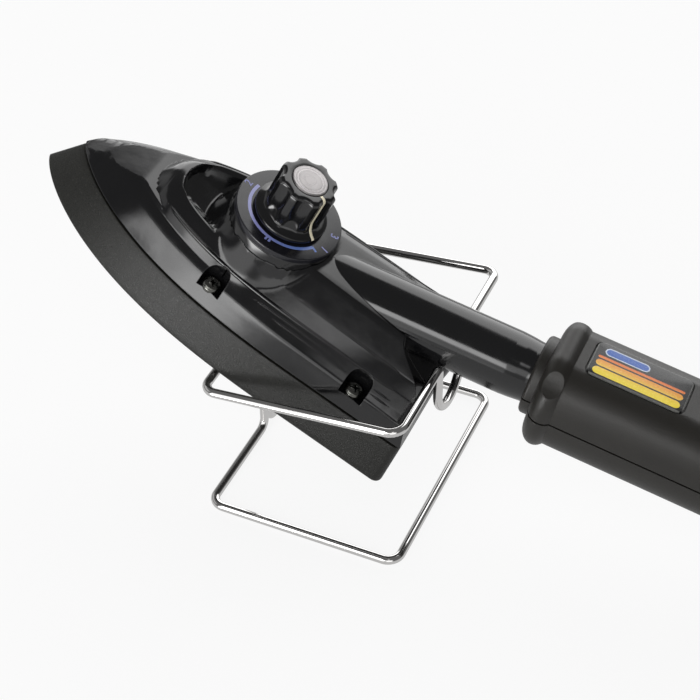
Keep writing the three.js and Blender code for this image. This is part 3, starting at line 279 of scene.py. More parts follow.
class Shade:
    def __init__(self, owner):
        owner.use_nodes = True
        self.tree = owner.node_tree
        self.tree.nodes.clear()

    # Any node: its settings are set first, then the values or links of its sockets. A ramp's stops are
    # pairs of place and colour. The first shown output comes back, or the one that is named.
    def node(self, kind, settings=None, values=None, output=None):
        made = self.tree.nodes.new(kind)
        for name, value in (settings or {}).items():
            if name == "stops":
                ramp = made.color_ramp
                while len(ramp.elements) < len(value):
                    ramp.elements.new(0.5)
                for element, (place, colour) in zip(ramp.elements, value):
                    element.position, element.color = place, colour
            else:
                setattr(made, name, value)
        for name, value in (values or {}).items():
            if isinstance(value, Field):
                self.tree.links.new(value.socket, made.inputs[name])
            elif made.inputs[name].type == "RGBA":
                made.inputs[name].default_value = (*value, 1)
            else:
                made.inputs[name].default_value = value
        outputs = [socket for socket in made.outputs if socket.enabled]
        if not outputs:
            return made
        return Field(self, made.outputs[output] if output else outputs[0])

    # Object coordinates in millimetres, in the axes of a place: where it starts, and its turn about Y
    def places(self, start=(0, 0, 0), turn=0):
        here = self.node("ShaderNodeTexCoord", output="Object")
        return self.node("ShaderNodeMapping", {"vector_type": "TEXTURE"}, {
            "Vector": here, "Location": tuple(start), "Rotation": (0, turn, 0), "Scale": (mm, mm, mm)})

    # The three numbers of a vector, and a vector of three numbers
    def split(self, vector):
        made = self.node("ShaderNodeSeparateXYZ", values={"Vector": vector})
        parts = made.socket.node.outputs
        return [Field(self, parts[axis]) for axis in ("X", "Y", "Z")]

    def vector(self, x, y, z):
        return self.node("ShaderNodeCombineXYZ", values={"X": x, "Y": y, "Z": z})

    # Noise with features of about a given size in millimetres
    def noise(self, vector, size, detail=2, roughness=0.5):
        return self.node("ShaderNodeTexNoise", values={
            "Vector": vector, "Scale": 1 / size, "Detail": detail, "Roughness": roughness}, output="Fac")

    # One value to another as the input goes from low to high, eased, and level beyond
    def ramp(self, value, low, high, lowValue=0, highValue=1, curve="SMOOTHSTEP"):
        return self.node("ShaderNodeMapRange", {"interpolation_type": curve}, {
            "Value": value, "From Min": low, "From Max": high, "To Min": lowValue, "To Max": highValue})

    # Colour a turns into colour b as the factor goes from 0 to 1
    def blend(self, factor, a, b):
        return self.node("ShaderNodeMix", {"data_type": "RGBA"}, {0: factor, 6: a, 7: b}, output=2)

    # The surface tilted as if raised by the height times a depth in millimetres
    def bump(self, height, depth, strength=1, normal=None):
        values = {"Height": height, "Distance": depth * mm, "Strength": strength}
        if normal is not None:
            values["Normal"] = normal
        return self.node("ShaderNodeBump", values=values)

    # The surface tilted near its edges, as if rounded to a radius in millimetres
    def rounded(self, radius):
        return self.node("ShaderNodeBevel", {"samples": 6}, {"Radius": radius * mm})

    # The material's surface: a grain sets the roughness between two values, and the grain or a relief of
    # its own bumps it. Edges look rounded to a radius where one is given.
    def surface(self, colour, grain, roughness, depth, edge=None, relief=None, spread=(0.3, 0.7), **more):
        edges = self.rounded(edge) if edge else None
        inputs = {"Base Color": colour, "Roughness": self.ramp(grain, *spread, *roughness),
                  "Normal": self.bump(relief or grain, depth, 1, edges)}
        names = {"metallic": "Metallic", "ior": "IOR"}
        inputs.update({names[name]: value for name, value in more.items()})
        shader = self.node("ShaderNodeBsdfPrincipled", values=inputs)
        self.node("ShaderNodeOutputMaterial", values={"Surface": shader})


# An empty material and its nodes
def finish(name):
    made = bpy.data.materials.new(name)
    return made, Shade(made)


# Chrome: a wide haze sets the roughness, and a fine noise bumps it
def chromeFinish():
    made, shade = finish("bright chrome")
    place = shade.places()
    shade.surface((0.76, 0.75, 0.74), shade.noise(place, 9, 3), (0.045, 0.09), 0.004,
                  relief=shade.noise(place, 0.8, 2), spread=(0.35, 0.7), metallic=1.0)
    return made


# Release coat: a cloud between two blacks, with paler flecks where a fine noise is high
def coatFinish():
    made, shade = finish("release coat")
    place = shade.places()
    colour = shade.blend(shade.noise(place, 7, 3), (0.006, 0.006, 0.005), (0.011, 0.011, 0.009))
    fleck = shade.ramp(shade.noise(place, 0.45, 2, 0.6), 0.6, 0.72)
    colour = shade.blend(fleck * 0.5, colour, (0.05, 0.05, 0.043))
    shade.surface(colour, shade.noise(place, 0.3, 3, 0.7), (0.26, 0.4), 0.09, 0.35, ior=1.42)
    return made


# A finish of noises, each with its size, detail and roughness: a cloud blends two colours, a grain sets
# the roughness between two values, and a relief, or else the grain, bumps the surface
def noiseFinish(name, cloud, colours, grain, roughness, depth, relief=None, edge=None, **more):
    made, shade = finish(name)
    place = shade.places()
    colour = shade.blend(shade.noise(place, *cloud), *colours)
    relief = shade.noise(place, *relief) if relief else None
    shade.surface(colour, shade.noise(place, *grain), roughness, depth, edge, relief, **more)
    return made


# Black gloss with a slight peel, and edges that look rounded to a radius
def glossFinish(name="black gloss", edge=0.22):
    return noiseFinish(name, (12, 2), ((0.003, 0.003, 0.0035), (0.0055, 0.0055, 0.006)), (5, 3),
                       (0.09, 0.14), 0.012, (3.5, 2), edge, ior=1.62)


# Plain metals of the inner pieces: fine drawn lines along the iron, and small clouds
def metalFinish(name, colour, darker, roughness=0.3):
    made, shade = finish(name)
    place = shade.places(ironHeel, solePitch)
    x, y, z = shade.split(place)
    lines = shade.noise(shade.vector(x * 0.08, y, z), 0.25, 3)
    shade.surface(shade.blend(shade.noise(place, 4, 3), colour, darker), lines,
                  (roughness * 0.8, roughness * 1.3), 0.01, 0.12, metallic=1.0)
    return made


# A dull material whose cloud is eight times as large as its grain
def dullFinish(name, colour, darker, grainSize, roughness=0.6, depth=0.05):
    return noiseFinish(name, (grainSize * 8, 3), (colour, darker), (grainSize, 3),
                       (roughness * 0.85, roughness * 1.1), depth)


finishes = {
    "chrome": chromeFinish(),
    "coat": coatFinish(),
    "gloss": glossFinish(),
    "satin": noiseFinish("satin black", (6, 3), ((0.0095, 0.0085, 0.007), (0.015, 0.0135, 0.011)),
                         (0.3, 3, 0.6), (0.34, 0.46), 0.03, edge=0.3, ior=1.5),
    "steel": metalFinish("plain steel", (0.55, 0.55, 0.54), (0.42, 0.42, 0.41)),
    "screw": metalFinish("dark chromed steel", (0.20, 0.20, 0.185), (0.12, 0.12, 0.11), 0.22),
    "brass": metalFinish("plain brass", (0.62, 0.45, 0.19), (0.48, 0.33, 0.13)),
    "ceramic": dullFinish("white ceramic", (0.80, 0.77, 0.69), (0.72, 0.69, 0.61), 0.4, 0.45),
    "mica": dullFinish("pressed mica", (0.52, 0.45, 0.33), (0.40, 0.34, 0.24), 0.7, 0.5),
    "cream": dullFinish("cream paint", (0.82, 0.76, 0.58), (0.78, 0.71, 0.53), 0.3, 0.45, 0.02),
    "sleeve": dullFinish("glass fibre sleeve", (0.55, 0.52, 0.44), (0.45, 0.42, 0.35), 0.25, 0.8, 0.08),
}
print("finishes made")


# Gives a piece its finish, the given material or else the one its slot names, and the body it rides on,
# and hides the CAD nodes it replaces
def settle(piece, body, slot, *nodes, material=None):
    piece.data.materials.clear()
    piece.data.materials.append(material or finishes[slot])
    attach(piece, body)
    if nodes:
        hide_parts(*nodes)
    return piece


# Stand: one closed wire through rounded corners
wire = {"radius": 1.1, "length": 48.7, "width": 62.6, "corner": 3.4, "riserBend": 2.6, "riserGap": 0.3,
        "saddle": 7.55, "saddleDepth": 15.6, "shoulder": 1.3, "gap": 0.3, "middle": -17.04, "sides": 20,
        "guide": (0.62, 0.53, 0.58)}


# The wire's line: straight runs between corners, each corner an arc of its own radius. A point of an arc
# is its centre plus the rays to both ends, weighted by the sine of the turn to go and of the turn gone.
def wireLine(corners):
    places = np.array([place for place, radius in corners], float)
    parts = []
    for i, (place, radius) in enumerate(corners):
        at = places[i]
        back = places[i - 1] - at
        ahead = places[(i + 1) % len(places)] - at
        back, ahead = back / np.linalg.norm(back), ahead / np.linalg.norm(ahead)
        if radius == 0:
            parts.append(at[None])
            continue
        half = math.acos(np.clip(back @ ahead, -1, 1)) / 2
        middle = back + ahead
        centre = at + middle / np.linalg.norm(middle) * radius / math.sin(half)
        start, end = (at + way * radius / math.tan(half) - centre for way in (back, ahead))
        sweep = math.pi - 2 * half
        share = np.linspace(0, 1, 6 + int(radius * sweep / 0.35))[:, None]
        arc = np.sin((1 - share) * sweep) * start + np.sin(share * sweep) * end
        parts.append(centre + arc / math.sin(sweep))
    return np.vstack(parts)


# Corners of half the stand, then the mirrored half. The low end lies under the sole's line by the wire's
# radius and a gap. The high end lies so that the saddle's shoulders keep the gap to the round neck.
def wireStand():
    heelX, heelZ = -wire["middle"], ironHeel[2] / mm
    left, right, side = -wire["length"] / 2, wire["length"] / 2, wire["width"] / 2
    radius, bend, corner = wire["radius"], wire["riserBend"], wire["corner"]
    low = heelZ + (heelX - left) * math.tan(solePitch) - (radius + wire["gap"]) / math.cos(solePitch)
    neckSlope = math.tan(solePitch - neckRise)
    neckX = heelX + ironSizes["neckHeight"] * math.sin(solePitch)
    neckZ = heelZ + ironSizes["neckHeight"] * math.cos(solePitch) - (right - neckX) * neckSlope
    shoulder, saddle = wire["shoulder"], wire["saddle"]
    reach = neck["rootRadius"] + wire["gap"] + radius + shoulder
    high = neckZ - math.sqrt(reach ** 2 - (saddle + shoulder) ** 2) + shoulder
    riser = radius + wire["riserGap"] / 2
    bottom = high - wire["saddleDepth"]
    half = [
        ((right, 0, radius), 0), ((right, side, radius), corner), ((left, side, radius), corner),
        ((left, riser, radius), bend), ((left, riser, low), bend), ((left, side, low), corner),
        ((right, side, high), corner), ((right, saddle, high), shoulder),
        ((right, saddle, bottom), saddle * 0.999),
    ]
    mirrored = [((x, -y, z), bend) for (x, y, z), bend in reversed(half[1:])]
    line = wireLine(half + mirrored) * mm
    line[:, 0] += ironHeel[0] + wire["middle"] * mm
    along = np.roll(line, -1, axis=0) - np.roll(line, 1, axis=0)
    piece = tube("chrome_stand", line, along, wire["guide"], radius * mm, wire["sides"], True)
    return settle(smooth(piece, 60), "stand", "chrome", "wire_stand")


# Sole plate: a cast pan with a pointed outline
shoe = {"length": 108.35, "halfWidth": 26, "straight": 26.1, "height": 11, "draft": 2.8, "edge": 0.9,
        "corner": 2.1, "floor": 4, "wall": 2.4, "noseDraft": 2.4, "heelDraft": 0.3, "power": 2.8,
        "root": 0.7476, "boss": 3.4, "hole": 1.7,
        "clampPosts": (-73, -31), "post": 4, "postTop": 5.4, "postHole": 1.8}


# Half width at s: (width + draw * s) up to the straight part's end, then that times
# (1 - share ^ power) ^ root, where the share goes from 0 there to 1 at the nose
def halfWidth(s, length, width, power=shoe["power"], root=shoe["root"], draw=0.0):
    share = np.clip((-s - shoe["straight"]) / (length - shoe["straight"]), 0, 1)
    return (width + draw * s) * (1 - share ** power) ** root


# The outline as a ring at a height, drawn in by an inset: more at the nose, less at the heel
def shoeRing(inset, height, steps=56):
    length = shoe["length"] - inset * shoe["noseDraft"]
    width = shoe["halfWidth"] - inset
    heel = -inset * shoe["heelDraft"]
    turn = quarterTurn(9)
    cornerS = heel - shoe["corner"] * (1 - np.cos(turn))
    cornerT = width - shoe["corner"] * (1 - np.sin(turn))
    straightS = np.linspace(cornerS[-1], -shoe["straight"], 6)[1:-1]
    noseS = -shoe["straight"] - (length - shoe["straight"]) * np.sin(quarterTurn(steps))
    s = np.concatenate([cornerS, straightS, noseS])
    t = np.concatenate([cornerT, np.full(len(straightS), width), halfWidth(noseS, length, width)])
    s, t = np.concatenate([s, s[-2::-1]]), np.concatenate([t, -t[-2::-1]])
    return onIron(s, t, height)


# The four cover screws: each s with its t on both sides
def screwPlaces():
    return [(s, side * t) for s, t in ((cover["screwFront"], cover["screwFrontSide"]),
                                       (cover["screwRear"], cover["screwRearSide"])) for side in (-1, 1)]


# The pan: rings up a round lower edge that then draw in evenly, hollowed, with bosses and posts
def solePlate():
    turn = quarterTurn(7)
    edge, draft, height = shoe["edge"], shoe["draft"], shoe["height"]
    rings = [shoeRing(edge * (1 - math.sin(a)), edge * (1 - math.cos(a))) for a in turn]
    levels = np.linspace(edge, height - 0.25, 8)[1:]
    rings += [shoeRing(draft * (h - edge) / (height - edge), h) for h in levels]
    rings += [shoeRing(draft + 0.05, height - 0.07), shoeRing(draft + 0.25, height)]
    piece = ringSkin("coated_sole", rings)
    panInset = shoe["wall"] + draft * shoe["floor"] / height
    panRings = [shoeRing(panInset, shoe["floor"]), shoeRing(panInset + draft * 0.9, height + 2)]
    pan = ringSkin("pan", panRings)
    steps = [(cut, pan)]
    for s, t in screwPlaces():
        boss = plugPiece("boss", shoe["boss"], 2, height - 0.02, nearIron(s, t), sides=32)
        hull = ringSkin("hull", [shoeRing(edge, 0.5), shoeRing(draft + 0.02, height + 1)])
        steps.append((join, carve(boss, (trim, hull))))
    for s in shoe["clampPosts"]:
        steps.append((join, plugPiece("post", shoe["post"], 2, shoe["postTop"], nearIron(s), 0.2, 32)))
    for s, t in screwPlaces():
        steps.append((cut, plugPiece("hole", shoe["hole"], 5.2, 14, nearIron(s, t), sides=20)))
    for s in shoe["clampPosts"]:
        steps.append((cut, plugPiece("hole", shoe["postHole"], 1.7, 9, nearIron(s), sides=20)))
    return settle(smooth(carve(piece, *steps)), "iron", "coat", "sole_plate")


# Cover: a faceted shell whose creases run from the nose to the leaning rear wall
cover = {"rim": 11.8, "front": 101.6, "rear": 1, "lean": 21.3, "plateau": 27.3, "wall": 2.3,
         "screwFront": -57.3, "screwFrontSide": 17.8, "screwRear": -17.2, "screwRearSide": 19.4,
         "pocketFloor": 14.0, "pocketRadius": 3.05, "pocketArch": 2.55, "pocketPower": 2.6,
         "pocketSpring": 0.3, "pocketReach": 5.7, "pocketRise": 1.75, "post": 4.2,
         "bossRoot": 19, "bossFlare": 0.9, "dialRadius": 13, "dialThickness": 1.5,
         "footHeight": 25.5, "footRadius": 13.45, "footSlope": 2.4, "footTop": 26.5,
         "forward": 7.6, "besideEnd": 16.5, "besideEase": 8, "forwardStart": 13, "forwardEase": 9}
# Each crease: where its nose is, half width, height, the power and root of its outline, and its draw
creases = [
    (101.6, 23.2, 11.8, 2.8, 0.7476, 0),
    (95.5, 21.9, 16.5, 3.0, 0.87, 0.033),
    (94.4, 19.9, 18.0, 3.2, 1.12, 0.0206),
    (88.0, 17.2, 20.2, 3.17, 0.8, 0.0088),
    (79.0, 14.75, 23.0, 5.0, 0.63, 0.041),
    (78.2, 8.95, 27.3, 3.4, 0.5, 0.0437),
]
# How far each crease above the first is rounded before and after it, at a few places along the cover
roundingS = [-96, -84, -70, -58, -44, 0]
roundings = [
    [0.7, 1.2, 2.0, 1.9, 0.7, 0.5],
    [0.2, 0.2, 0.2, 0.2, 0.2, 0.2],
    [0.3, 0.3, 0.4, 0.4, 0.3, 0.25],
    [0.3, 0.3, 0.4, 0.4, 0.35, 0.3],
    [0.4, 0.4, 0.4, 0.4, 0.4, 0.4],
]
# How softly the cap meets the creases, at a few places along the cover
easeS, eases = [-90, -77, -75, -62, -50], [0.25, 0.3, 0.8, 2.4, 2.4]
# What caps the creases: the deck over the nose, and the lip behind it, which is round in plan
deckS, deckH = [-101.6, -95.1, -84.2, -82.4], [11.6, 14.7, 18.4, 18.7]
lip = {"curve": 8.8, "back": -76.1, "steep": 2.6, "limit": -74, "limitSteep": 4,
       "s": [-90, -82.5, -81.9, -80.3, -78.6, -77, -75.6, -73.8],
       "h": [0, 18.5, 19.3, 21.3, 22.4, 22.9, 23.0, 34]}
# The scoop behind the lip: its floor falls towards the dial, and its sides rise to the ridges
scoop = {"front": -76.1, "rear": -65, "floor": 20.8, "fall": 2.6, "halfWidth": 4.4, "power": 1.25,
         "end": -63.5, "ramp": 1.0}


# Height of a line through points at s, with its corners eased: the mean of nine heights within the ease
# before and after s, weighted from 1 in the middle to 0.2 at the ends
def easedHeight(s, lineS, lineH, ease):
    offsets = np.linspace(-ease, ease, 9)
    weights = 1 - np.abs(offsets / ease) * 0.8
    heights = [weight * np.interp(s + offset, lineS, lineH) for offset, weight in zip(offsets, weights)]
    return sum(heights) / weights.sum()


# The lower of two heights, with the corner between them rounded: min - (k - |a - b|)^2 / 4k within k
def softLower(a, b, k):
    near = np.maximum(k - np.abs(a - b), 0)
    return np.minimum(a, b) - near ** 2 / (4 * k)


# The higher of two heights, eased the same way
def softHigher(a, b, k):
    return -softLower(-a, -b, k)


# Foot of the dial's boss: a cone round the dial, height - (reach - radius) * slope, cut off at its top
def footHeight(s, t):
    reach = np.sqrt((s - ironSizes["dialS"]) ** 2 + t ** 2)
    cone = cover["footHeight"] - (reach - cover["footRadius"]) * cover["footSlope"]
    return np.minimum(cone, cover["footTop"])


# Height that the cover keeps below at s and t: the lower of the front, which is the deck or the lip and
# rises steeply behind it, and the pit, whose side rises as (share of the way out) ^ power to the ridge
def capHeight(s, t):
    curved = s - t ** 2 / (2 * lip["curve"])
    deck = easedHeight(s, deckS, deckH, 1.2)
    front = np.maximum(deck, easedHeight(curved, lip["s"], lip["h"], 0.7))
    front = front + np.maximum(curved - lip["limit"], 0) * lip["limitSteep"]
    share = np.clip((s - scoop["front"]) / (scoop["rear"] - scoop["front"]), 0, 1)
    floor = scoop["floor"] - scoop["fall"] * share
    ridge = np.maximum(halfWidth(s, *[creases[4][i] for i in (0, 1, 3, 4, 5)]), scoop["halfWidth"] + 0.8)
    rise = np.maximum(np.abs(t) - scoop["halfWidth"], 0) / (ridge - scoop["halfWidth"])
    pit = floor + (creases[4][2] - floor) * rise ** scoop["power"]
    pit += np.maximum(lip["back"] - curved, 0) * lip["steep"]
    pit += np.maximum(s - scoop["end"], 0) * scoop["ramp"]
    return softLower(front, pit, 0.5)


# The creases at many s, as half widths and heights that end on the middle line
def creaseLines(s, wall=0.0):
    line = [[halfWidth(s, nose - wall, width - wall, power, root, draw), np.full_like(s, height)]
            for nose, width, height, power, root, draw in creases]
    return np.transpose(np.array(line + [[0 * s, np.full_like(s, cover["plateau"])]]), (2, 0, 1))


# More points between the points of many lines
def refine(line, parts):
    share = np.linspace(0, 1, parts, endpoint=False)[None, None, :, None]
    between = line[:, :-1, None] * (1 - share) + line[:, 1:, None] * share
    return np.concatenate([between.reshape(len(line), -1, 2), line[:, -1:]], axis=1)


# Both sides of many sections, from one side that ends on the middle line
def bothSides(half):
    return np.concatenate([half * [-1, 1], half[:, -2::-1]], axis=1)


# Sections at many s: the rounded creases, kept below the cap and above the dial's foot
def coverSections(s):
    reach = np.stack([np.interp(s, roundingS, rounding) for rounding in roundings], axis=1)[..., None]
    line = roundCorners(creaseLines(s), reach)
    line = refine(line, 5)
    ease = np.interp(s, easeS, eases)[:, None]
    capped = softLower(line[..., 1], capHeight(s[:, None], line[..., 0]), ease)
    capped = softHigher(capped, footHeight(s[:, None], line[..., 0]), 2.2)
    return bothSides(np.stack([line[..., 0], np.maximum(capped, cover["rim"])], axis=-1))


# Sections of the hollow: the creases drawn in by the wall, and the cap lowered by it
def hollowSections(s):
    wall = cover["wall"]
    line = refine(creaseLines(s, wall), 6)
    capped = np.minimum(line[..., 1], capHeight(s[:, None], line[..., 0])) - wall
    return bothSides(np.stack([line[..., 0], np.maximum(capped, cover["rim"])], axis=-1))


# Stations along the cover: close behind each crease's nose and round the lip, else wide
def coverStations(front):
    near = np.array([0, 0.03, 0.1, 0.25, 0.5, 0.9, 1.5, 2.4, 3.6, 5])
    marks = [-crease[0] + near for crease in creases]
    marks = np.concatenate(marks + [np.array(deckS), np.arange(-100, -84, 0.7), np.arange(-84, -62, 0.25),
                                    np.arange(-62, -34, 0.5), np.arange(-34, 0, 2.0), [0]])
    marks = np.unique(np.round(marks[(marks >= -front) & (marks <= 0)], 2))
    return np.concatenate([[-front], marks[marks > -front + 0.01]])


# The skin of the sections at all stations, lowered by a drop
def coverSkin(name, front, sections, drop=0.0):
    s = coverStations(front)
    section = sections(s)
    return ringSkin(name, onIron(s[:, None], section[..., 0], section[..., 1] - drop))


# Height of the facets at single points, between the two creases on either side of each
def facetHeight(s, t):
    line = creaseLines(s)
    height = line[:, 0, 1]
    for i in range(1, line.shape[1]):
        outer, inner = line[:, i - 1], line[:, i]
        share = (outer[:, 0] - np.abs(t)) / np.maximum(outer[:, 0] - inner[:, 0], 1e-6)
        between = outer[:, 1] + (inner[:, 1] - outer[:, 1]) * np.minimum(share, 1)
        height = np.where(share > 0, between, height)
    return height


# Beads along two creases: which crease, first and last s, three radii along it, and how far it is sunk
creaseBeads = [
    (3, -76.0, -9.5, [0.42, 0.46, 0.24], 0.16),
    (4, -40.5, -10.5, [0.22, 0.24, 0.24], 0.08),
]
# Thin beads before and behind the rear pocket: first and last s, how far out, and radius
pocketBeads = [
    (-47.5, -20.5, 18.2, 0.15),
    (-41.5, -20.5, 19.15, 0.17),
    (-13.9, -9.0, 18.75, 0.16),
    (-13.9, -8.5, 19.75, 0.16),
]


# A bead's stations, and its radius there: full along most of it, and less towards both ends
def beadStations(first, last):
    s = np.arange(first, last, 0.6)
    return s, np.clip(np.minimum(s - first, last - s) / 2, 0.2, 1)


# The beads of one side, each at its crease's half width or at its own distance out
def coverBeads(side):
    beads = []
    for i, first, last, radii, sink in creaseBeads:
        s, fade = beadStations(first, last)
        nose, width, height, power, root, draw = creases[i]
        radius = np.interp(s, [first, (first + last) / 2, last], radii)
        t = side * halfWidth(s, nose, width, power, root, draw)
        beads.append((onIron(s, t, height - sink), radius * fade))
    for first, last, out, radius in pocketBeads:
        s, fade = beadStations(first, last)
        t = out + 0.022 * (s + 20)
        beads.append((onIron(s, side * t, facetHeight(s, t) - 0.05), radius * fade))
    return [tube("bead", points, np.gradient(points, axis=0), ironUp, mm * radius, 10)
            for points, radius in beads]


# Rear wall: s = foot - lean * height, drawn further forward beside the neck above the tail
def rearCutter(name, foot):
    t = np.linspace(-40, 40, 81)[None, :]
    h = np.linspace(-10, 40, 51)[:, None]
    beside = np.clip((cover["besideEnd"] - np.abs(t)) / cover["besideEase"], 0, 1)
    high = np.clip((h - cover["forwardStart"]) / cover["forwardEase"], 0, 1)
    forward = cover["forward"] * beside ** 2 * (3 - 2 * beside) * high ** 2 * (3 - 2 * high)
    front = foot - (h - cover["rim"]) * math.tan(math.radians(cover["lean"])) - forward
    return ringSkin(name, np.concatenate([onIron(front, t, h), onIron(60.0, t, h)[:, ::-1]], axis=1))


# Neck and tail, in one piece with the cover
neck = {"radius": 7.25, "rootRadius": 7.65, "bore": 4.9, "start": -44, "noseLength": 6, "end": 46,
        "collar": 9.4, "collarStart": 34, "collarEnd": 37,
        "tailHalfWidth": 5.5, "tailFront": -16, "tailRear": -1.2, "tailBottom": 15.2}


# The neck: a rod along the handle's axis that starts in a round nose, with a collar inside the grip
def neckRod():
    start, length = neck["start"], neck["noseLength"]
    nose = [[neck["rootRadius"] * math.sin(a), start + length - length * math.cos(a)]
            for a in quarterTurn(9)]
    radius, collar, low, high = (neck[key] for key in ("radius", "collar", "collarStart", "collarEnd"))
    profile = nose + [[neck["rootRadius"], 9], [radius + 0.25, 11.5], [radius, 14], [radius, low - 0.1],
                      [collar, low], [collar, high], [radius, high + 0.1], [radius, neck["end"]],
                      [0, neck["end"]]]
    return rodPiece("neck", profile, reach=0.25, sides=96)


# A rounded block: the section is a superellipse in plan
def tailPiece():
    middle, half = (neck["tailFront"] + neck["tailRear"]) / 2, (neck["tailRear"] - neck["tailFront"]) / 2
    angle = fullTurn(64)
    squareness = 2 / 5
    s = middle + half * squared(np.cos(angle), squareness)
    t = neck["tailHalfWidth"] * squared(np.sin(angle), squareness)
    bottom = neck["tailBottom"]
    level = np.array([bottom, bottom + 0.15, bottom + 0.5, 20, 25, 26.5])[:, None]
    grow = np.array([0.93, 0.98, 1, 1, 1, 1])[:, None]
    return ringSkin("tail", onIron(middle + (s - middle) * grow, t * grow, level))


# A pocket round a screw: half a superellipse towards the middle of the iron, a square end outwards, and
# a floor that rises towards that end
def pocketPiece(s, t):
    turn = np.linspace(0, np.pi, 25)
    out = math.copysign(1, t)
    radius, share = cover["pocketRadius"], 2 / cover["pocketPower"]
    spring = t + out * cover["pocketSpring"]
    across, along = squared(np.cos(turn), share), np.sin(turn) ** share
    arch = np.stack([s + radius * across, spring - out * cover["pocketArch"] * along], axis=1)
    end = spring + out * cover["pocketReach"]
    outline = np.vstack([arch, [[s - radius, end], [s + radius, end]]])
    floor = cover["pocketFloor"]
    floor = np.where(np.arange(len(outline)) < len(arch), floor, floor + cover["pocketRise"])
    return ringSkin("pocket", [onIron(outline[:, 0], outline[:, 1], level) for level in (floor, 30)])


# The outside with boss, tail and neck, less the hollow, the bores, the pockets and the holes
def coverShell():
    wall, plateau, root = cover["wall"], cover["plateau"], cover["bossRoot"]
    radius, flare = cover["dialRadius"], cover["bossFlare"]
    seat = ironSizes["dialTop"] - cover["dialThickness"] - 0.1
    piece = coverSkin("glossy_cover", cover["front"], coverSections)
    hollow = coverSkin("hollow", cover["front"] - wall * 2, hollowSections, 2)
    carve(hollow, (cut, rearCutter("rear", -cover["rear"] - wall)))
    boss = turnedPiece("boss", [[0, root], [radius + flare, root], [radius, plateau - flare],
                                [radius - 0.3, seat], [0, seat]], onDial, 0.5, 128)
    well = plugPiece("well", radius - wall, root - 2, plateau - wall, onDial, 0.2, 48)
    pad = plugPiece("pad", radius - wall - 0.5, 10, root - 1, onDial, 0.2, 48)
    carve(hollow, (join, pad))
    for s, t in screwPlaces():
        post = plugPiece("post", cover["post"], 5, 22, nearIron(s, t))
        carve(hollow, (cut, post))
    holes = []
    for s, t in screwPlaces():
        holes.append((cut, pocketPiece(s, t)))
        holes.append((cut, plugPiece("hole", shoe["hole"], 5, 17, nearIron(s, t), sides=20)))
    bore = rodPlug("bore", neck["bore"], neck["start"] + 4, neck["end"] + 2, reach=0.3, sides=48)
    bushHole = plugPiece("hole", dial["bore"], 10, 31, onDial, sides=32)
    beads = [(join, bead) for side in (-1, 1) for bead in coverBeads(side)]
    carve(piece, *beads, (cut, rearCutter("rear", -cover["rear"])), (join, boss), (join, tailPiece()),
          (join, neckRod()), (cut, hollow), (cut, well), (cut, bore), (cut, bushHole), *holes)
    return settle(smooth(piece, 22), "iron", "gloss", "cover")


# Screws of the cover
screw = {"tip": 5.5, "lift": 0.3, "head": 2.2, "headHeight": 1.9, "shank": 1.4, "turn": 0.3,
         "longArm": 0.64, "shortArm": 0.24}


# A domed head on a plain shank. The recess is a star whose reach is long on four arms and short between
# them, and which widens upwards.
def crossScrew(name, s, t, node):
    place, angle = nearIron(s, t), fullTurn(24) + screw["turn"]
    head, headHeight, shank, tip = screw["head"], screw["headHeight"], screw["shank"], screw["tip"]
    seat = cover["pocketFloor"] + screw["lift"]
    top = seat + headHeight
    profile = [[0, tip], [shank, tip], [shank, seat], [head, seat], [head, seat + headHeight * 0.45],
               [head * 0.86, seat + headHeight * 0.78], [head * 0.5, top - headHeight * 0.04], [0, top]]
    piece = turnedPiece(name, profile, place, 0.18, 48)
    arms = np.where(np.arange(24) % 6 < 2, screw["longArm"], screw["shortArm"]) * head
    star = [place(grow * arms * np.cos(angle), grow * arms * np.sin(angle), height)
            for grow, height in ((0.45, seat + headHeight * 0.2), (1.15, top + 0.3))]
    carve(piece, (cut, ringSkin("star", star)))
    return settle(smooth(piece, 40), "iron", "screw", node)


# Dial disc with a printed band and marks
dial = {"radius": 13, "bore": 4.2, "thickness": 1.5, "bandInner": 9.4, "bandOuter": 10.2,
        "bandStart": -27, "bandEnd": 168, "tickHalf": 0.27,
        "ticks": ((-27.5, 1.0), (-90.2, 0.9), (-95.0, 0.9)),
        "blue": (0.14, 0.23, 0.60), "violet": (0.27, 0.28, 0.56), "numberSize": 2.8, "numberRise": 0.03,
        "numbers": (("number_low", "1", -15, 11.5, -105), ("number_mid", "2", 176, 11.75, 86),
                    ("number_high", "3", 12, 11.4, -78))}


# The print: a band between two radii, left out between two angles, with ticks, where the top is. Its ink
# blends from blue to violet across the dial.
def dialFinish():
    made, shade = finish("printed dial")
    centre = onDial(0, 0, ironSizes["dialTop"])
    place = shade.places(centre, solePitch)
    x, y, z = shade.split(place)
    radius = (x * x + y * y) ** 0.5
    angle = x.maths("ARCTAN2", y, x) * degree
    band = radius.above(dial["bandInner"]) * radius.below(dial["bandOuter"])
    band = band * (1 - angle.above(dial["bandStart"]) * angle.below(dial["bandEnd"]))
    for mark, reach in dial["ticks"]:
        turn = math.radians(mark)
        across = (x * -math.sin(turn) + y * math.cos(turn)).size()
        out = x * math.cos(turn) + y * math.sin(turn)
        tick = across.below(dial["tickHalf"]) * out.above(dial["bandOuter"] - 0.5)
        tick = tick * out.below(dial["bandOuter"] + reach)
        band = band.maths("MAXIMUM", band, tick)
    top = z.above(-0.06)
    ink = shade.blend(shade.ramp(x * -1 - y * 0.2, -6, 8), dial["blue"], dial["violet"])
    peel = shade.noise(place, 3, 2)
    colour = shade.blend(band * top, (0.008, 0.008, 0.011), ink)
    shade.surface(colour, peel, (0.16, 0.22), 0.01, 0.15, ior=1.55)
    return made


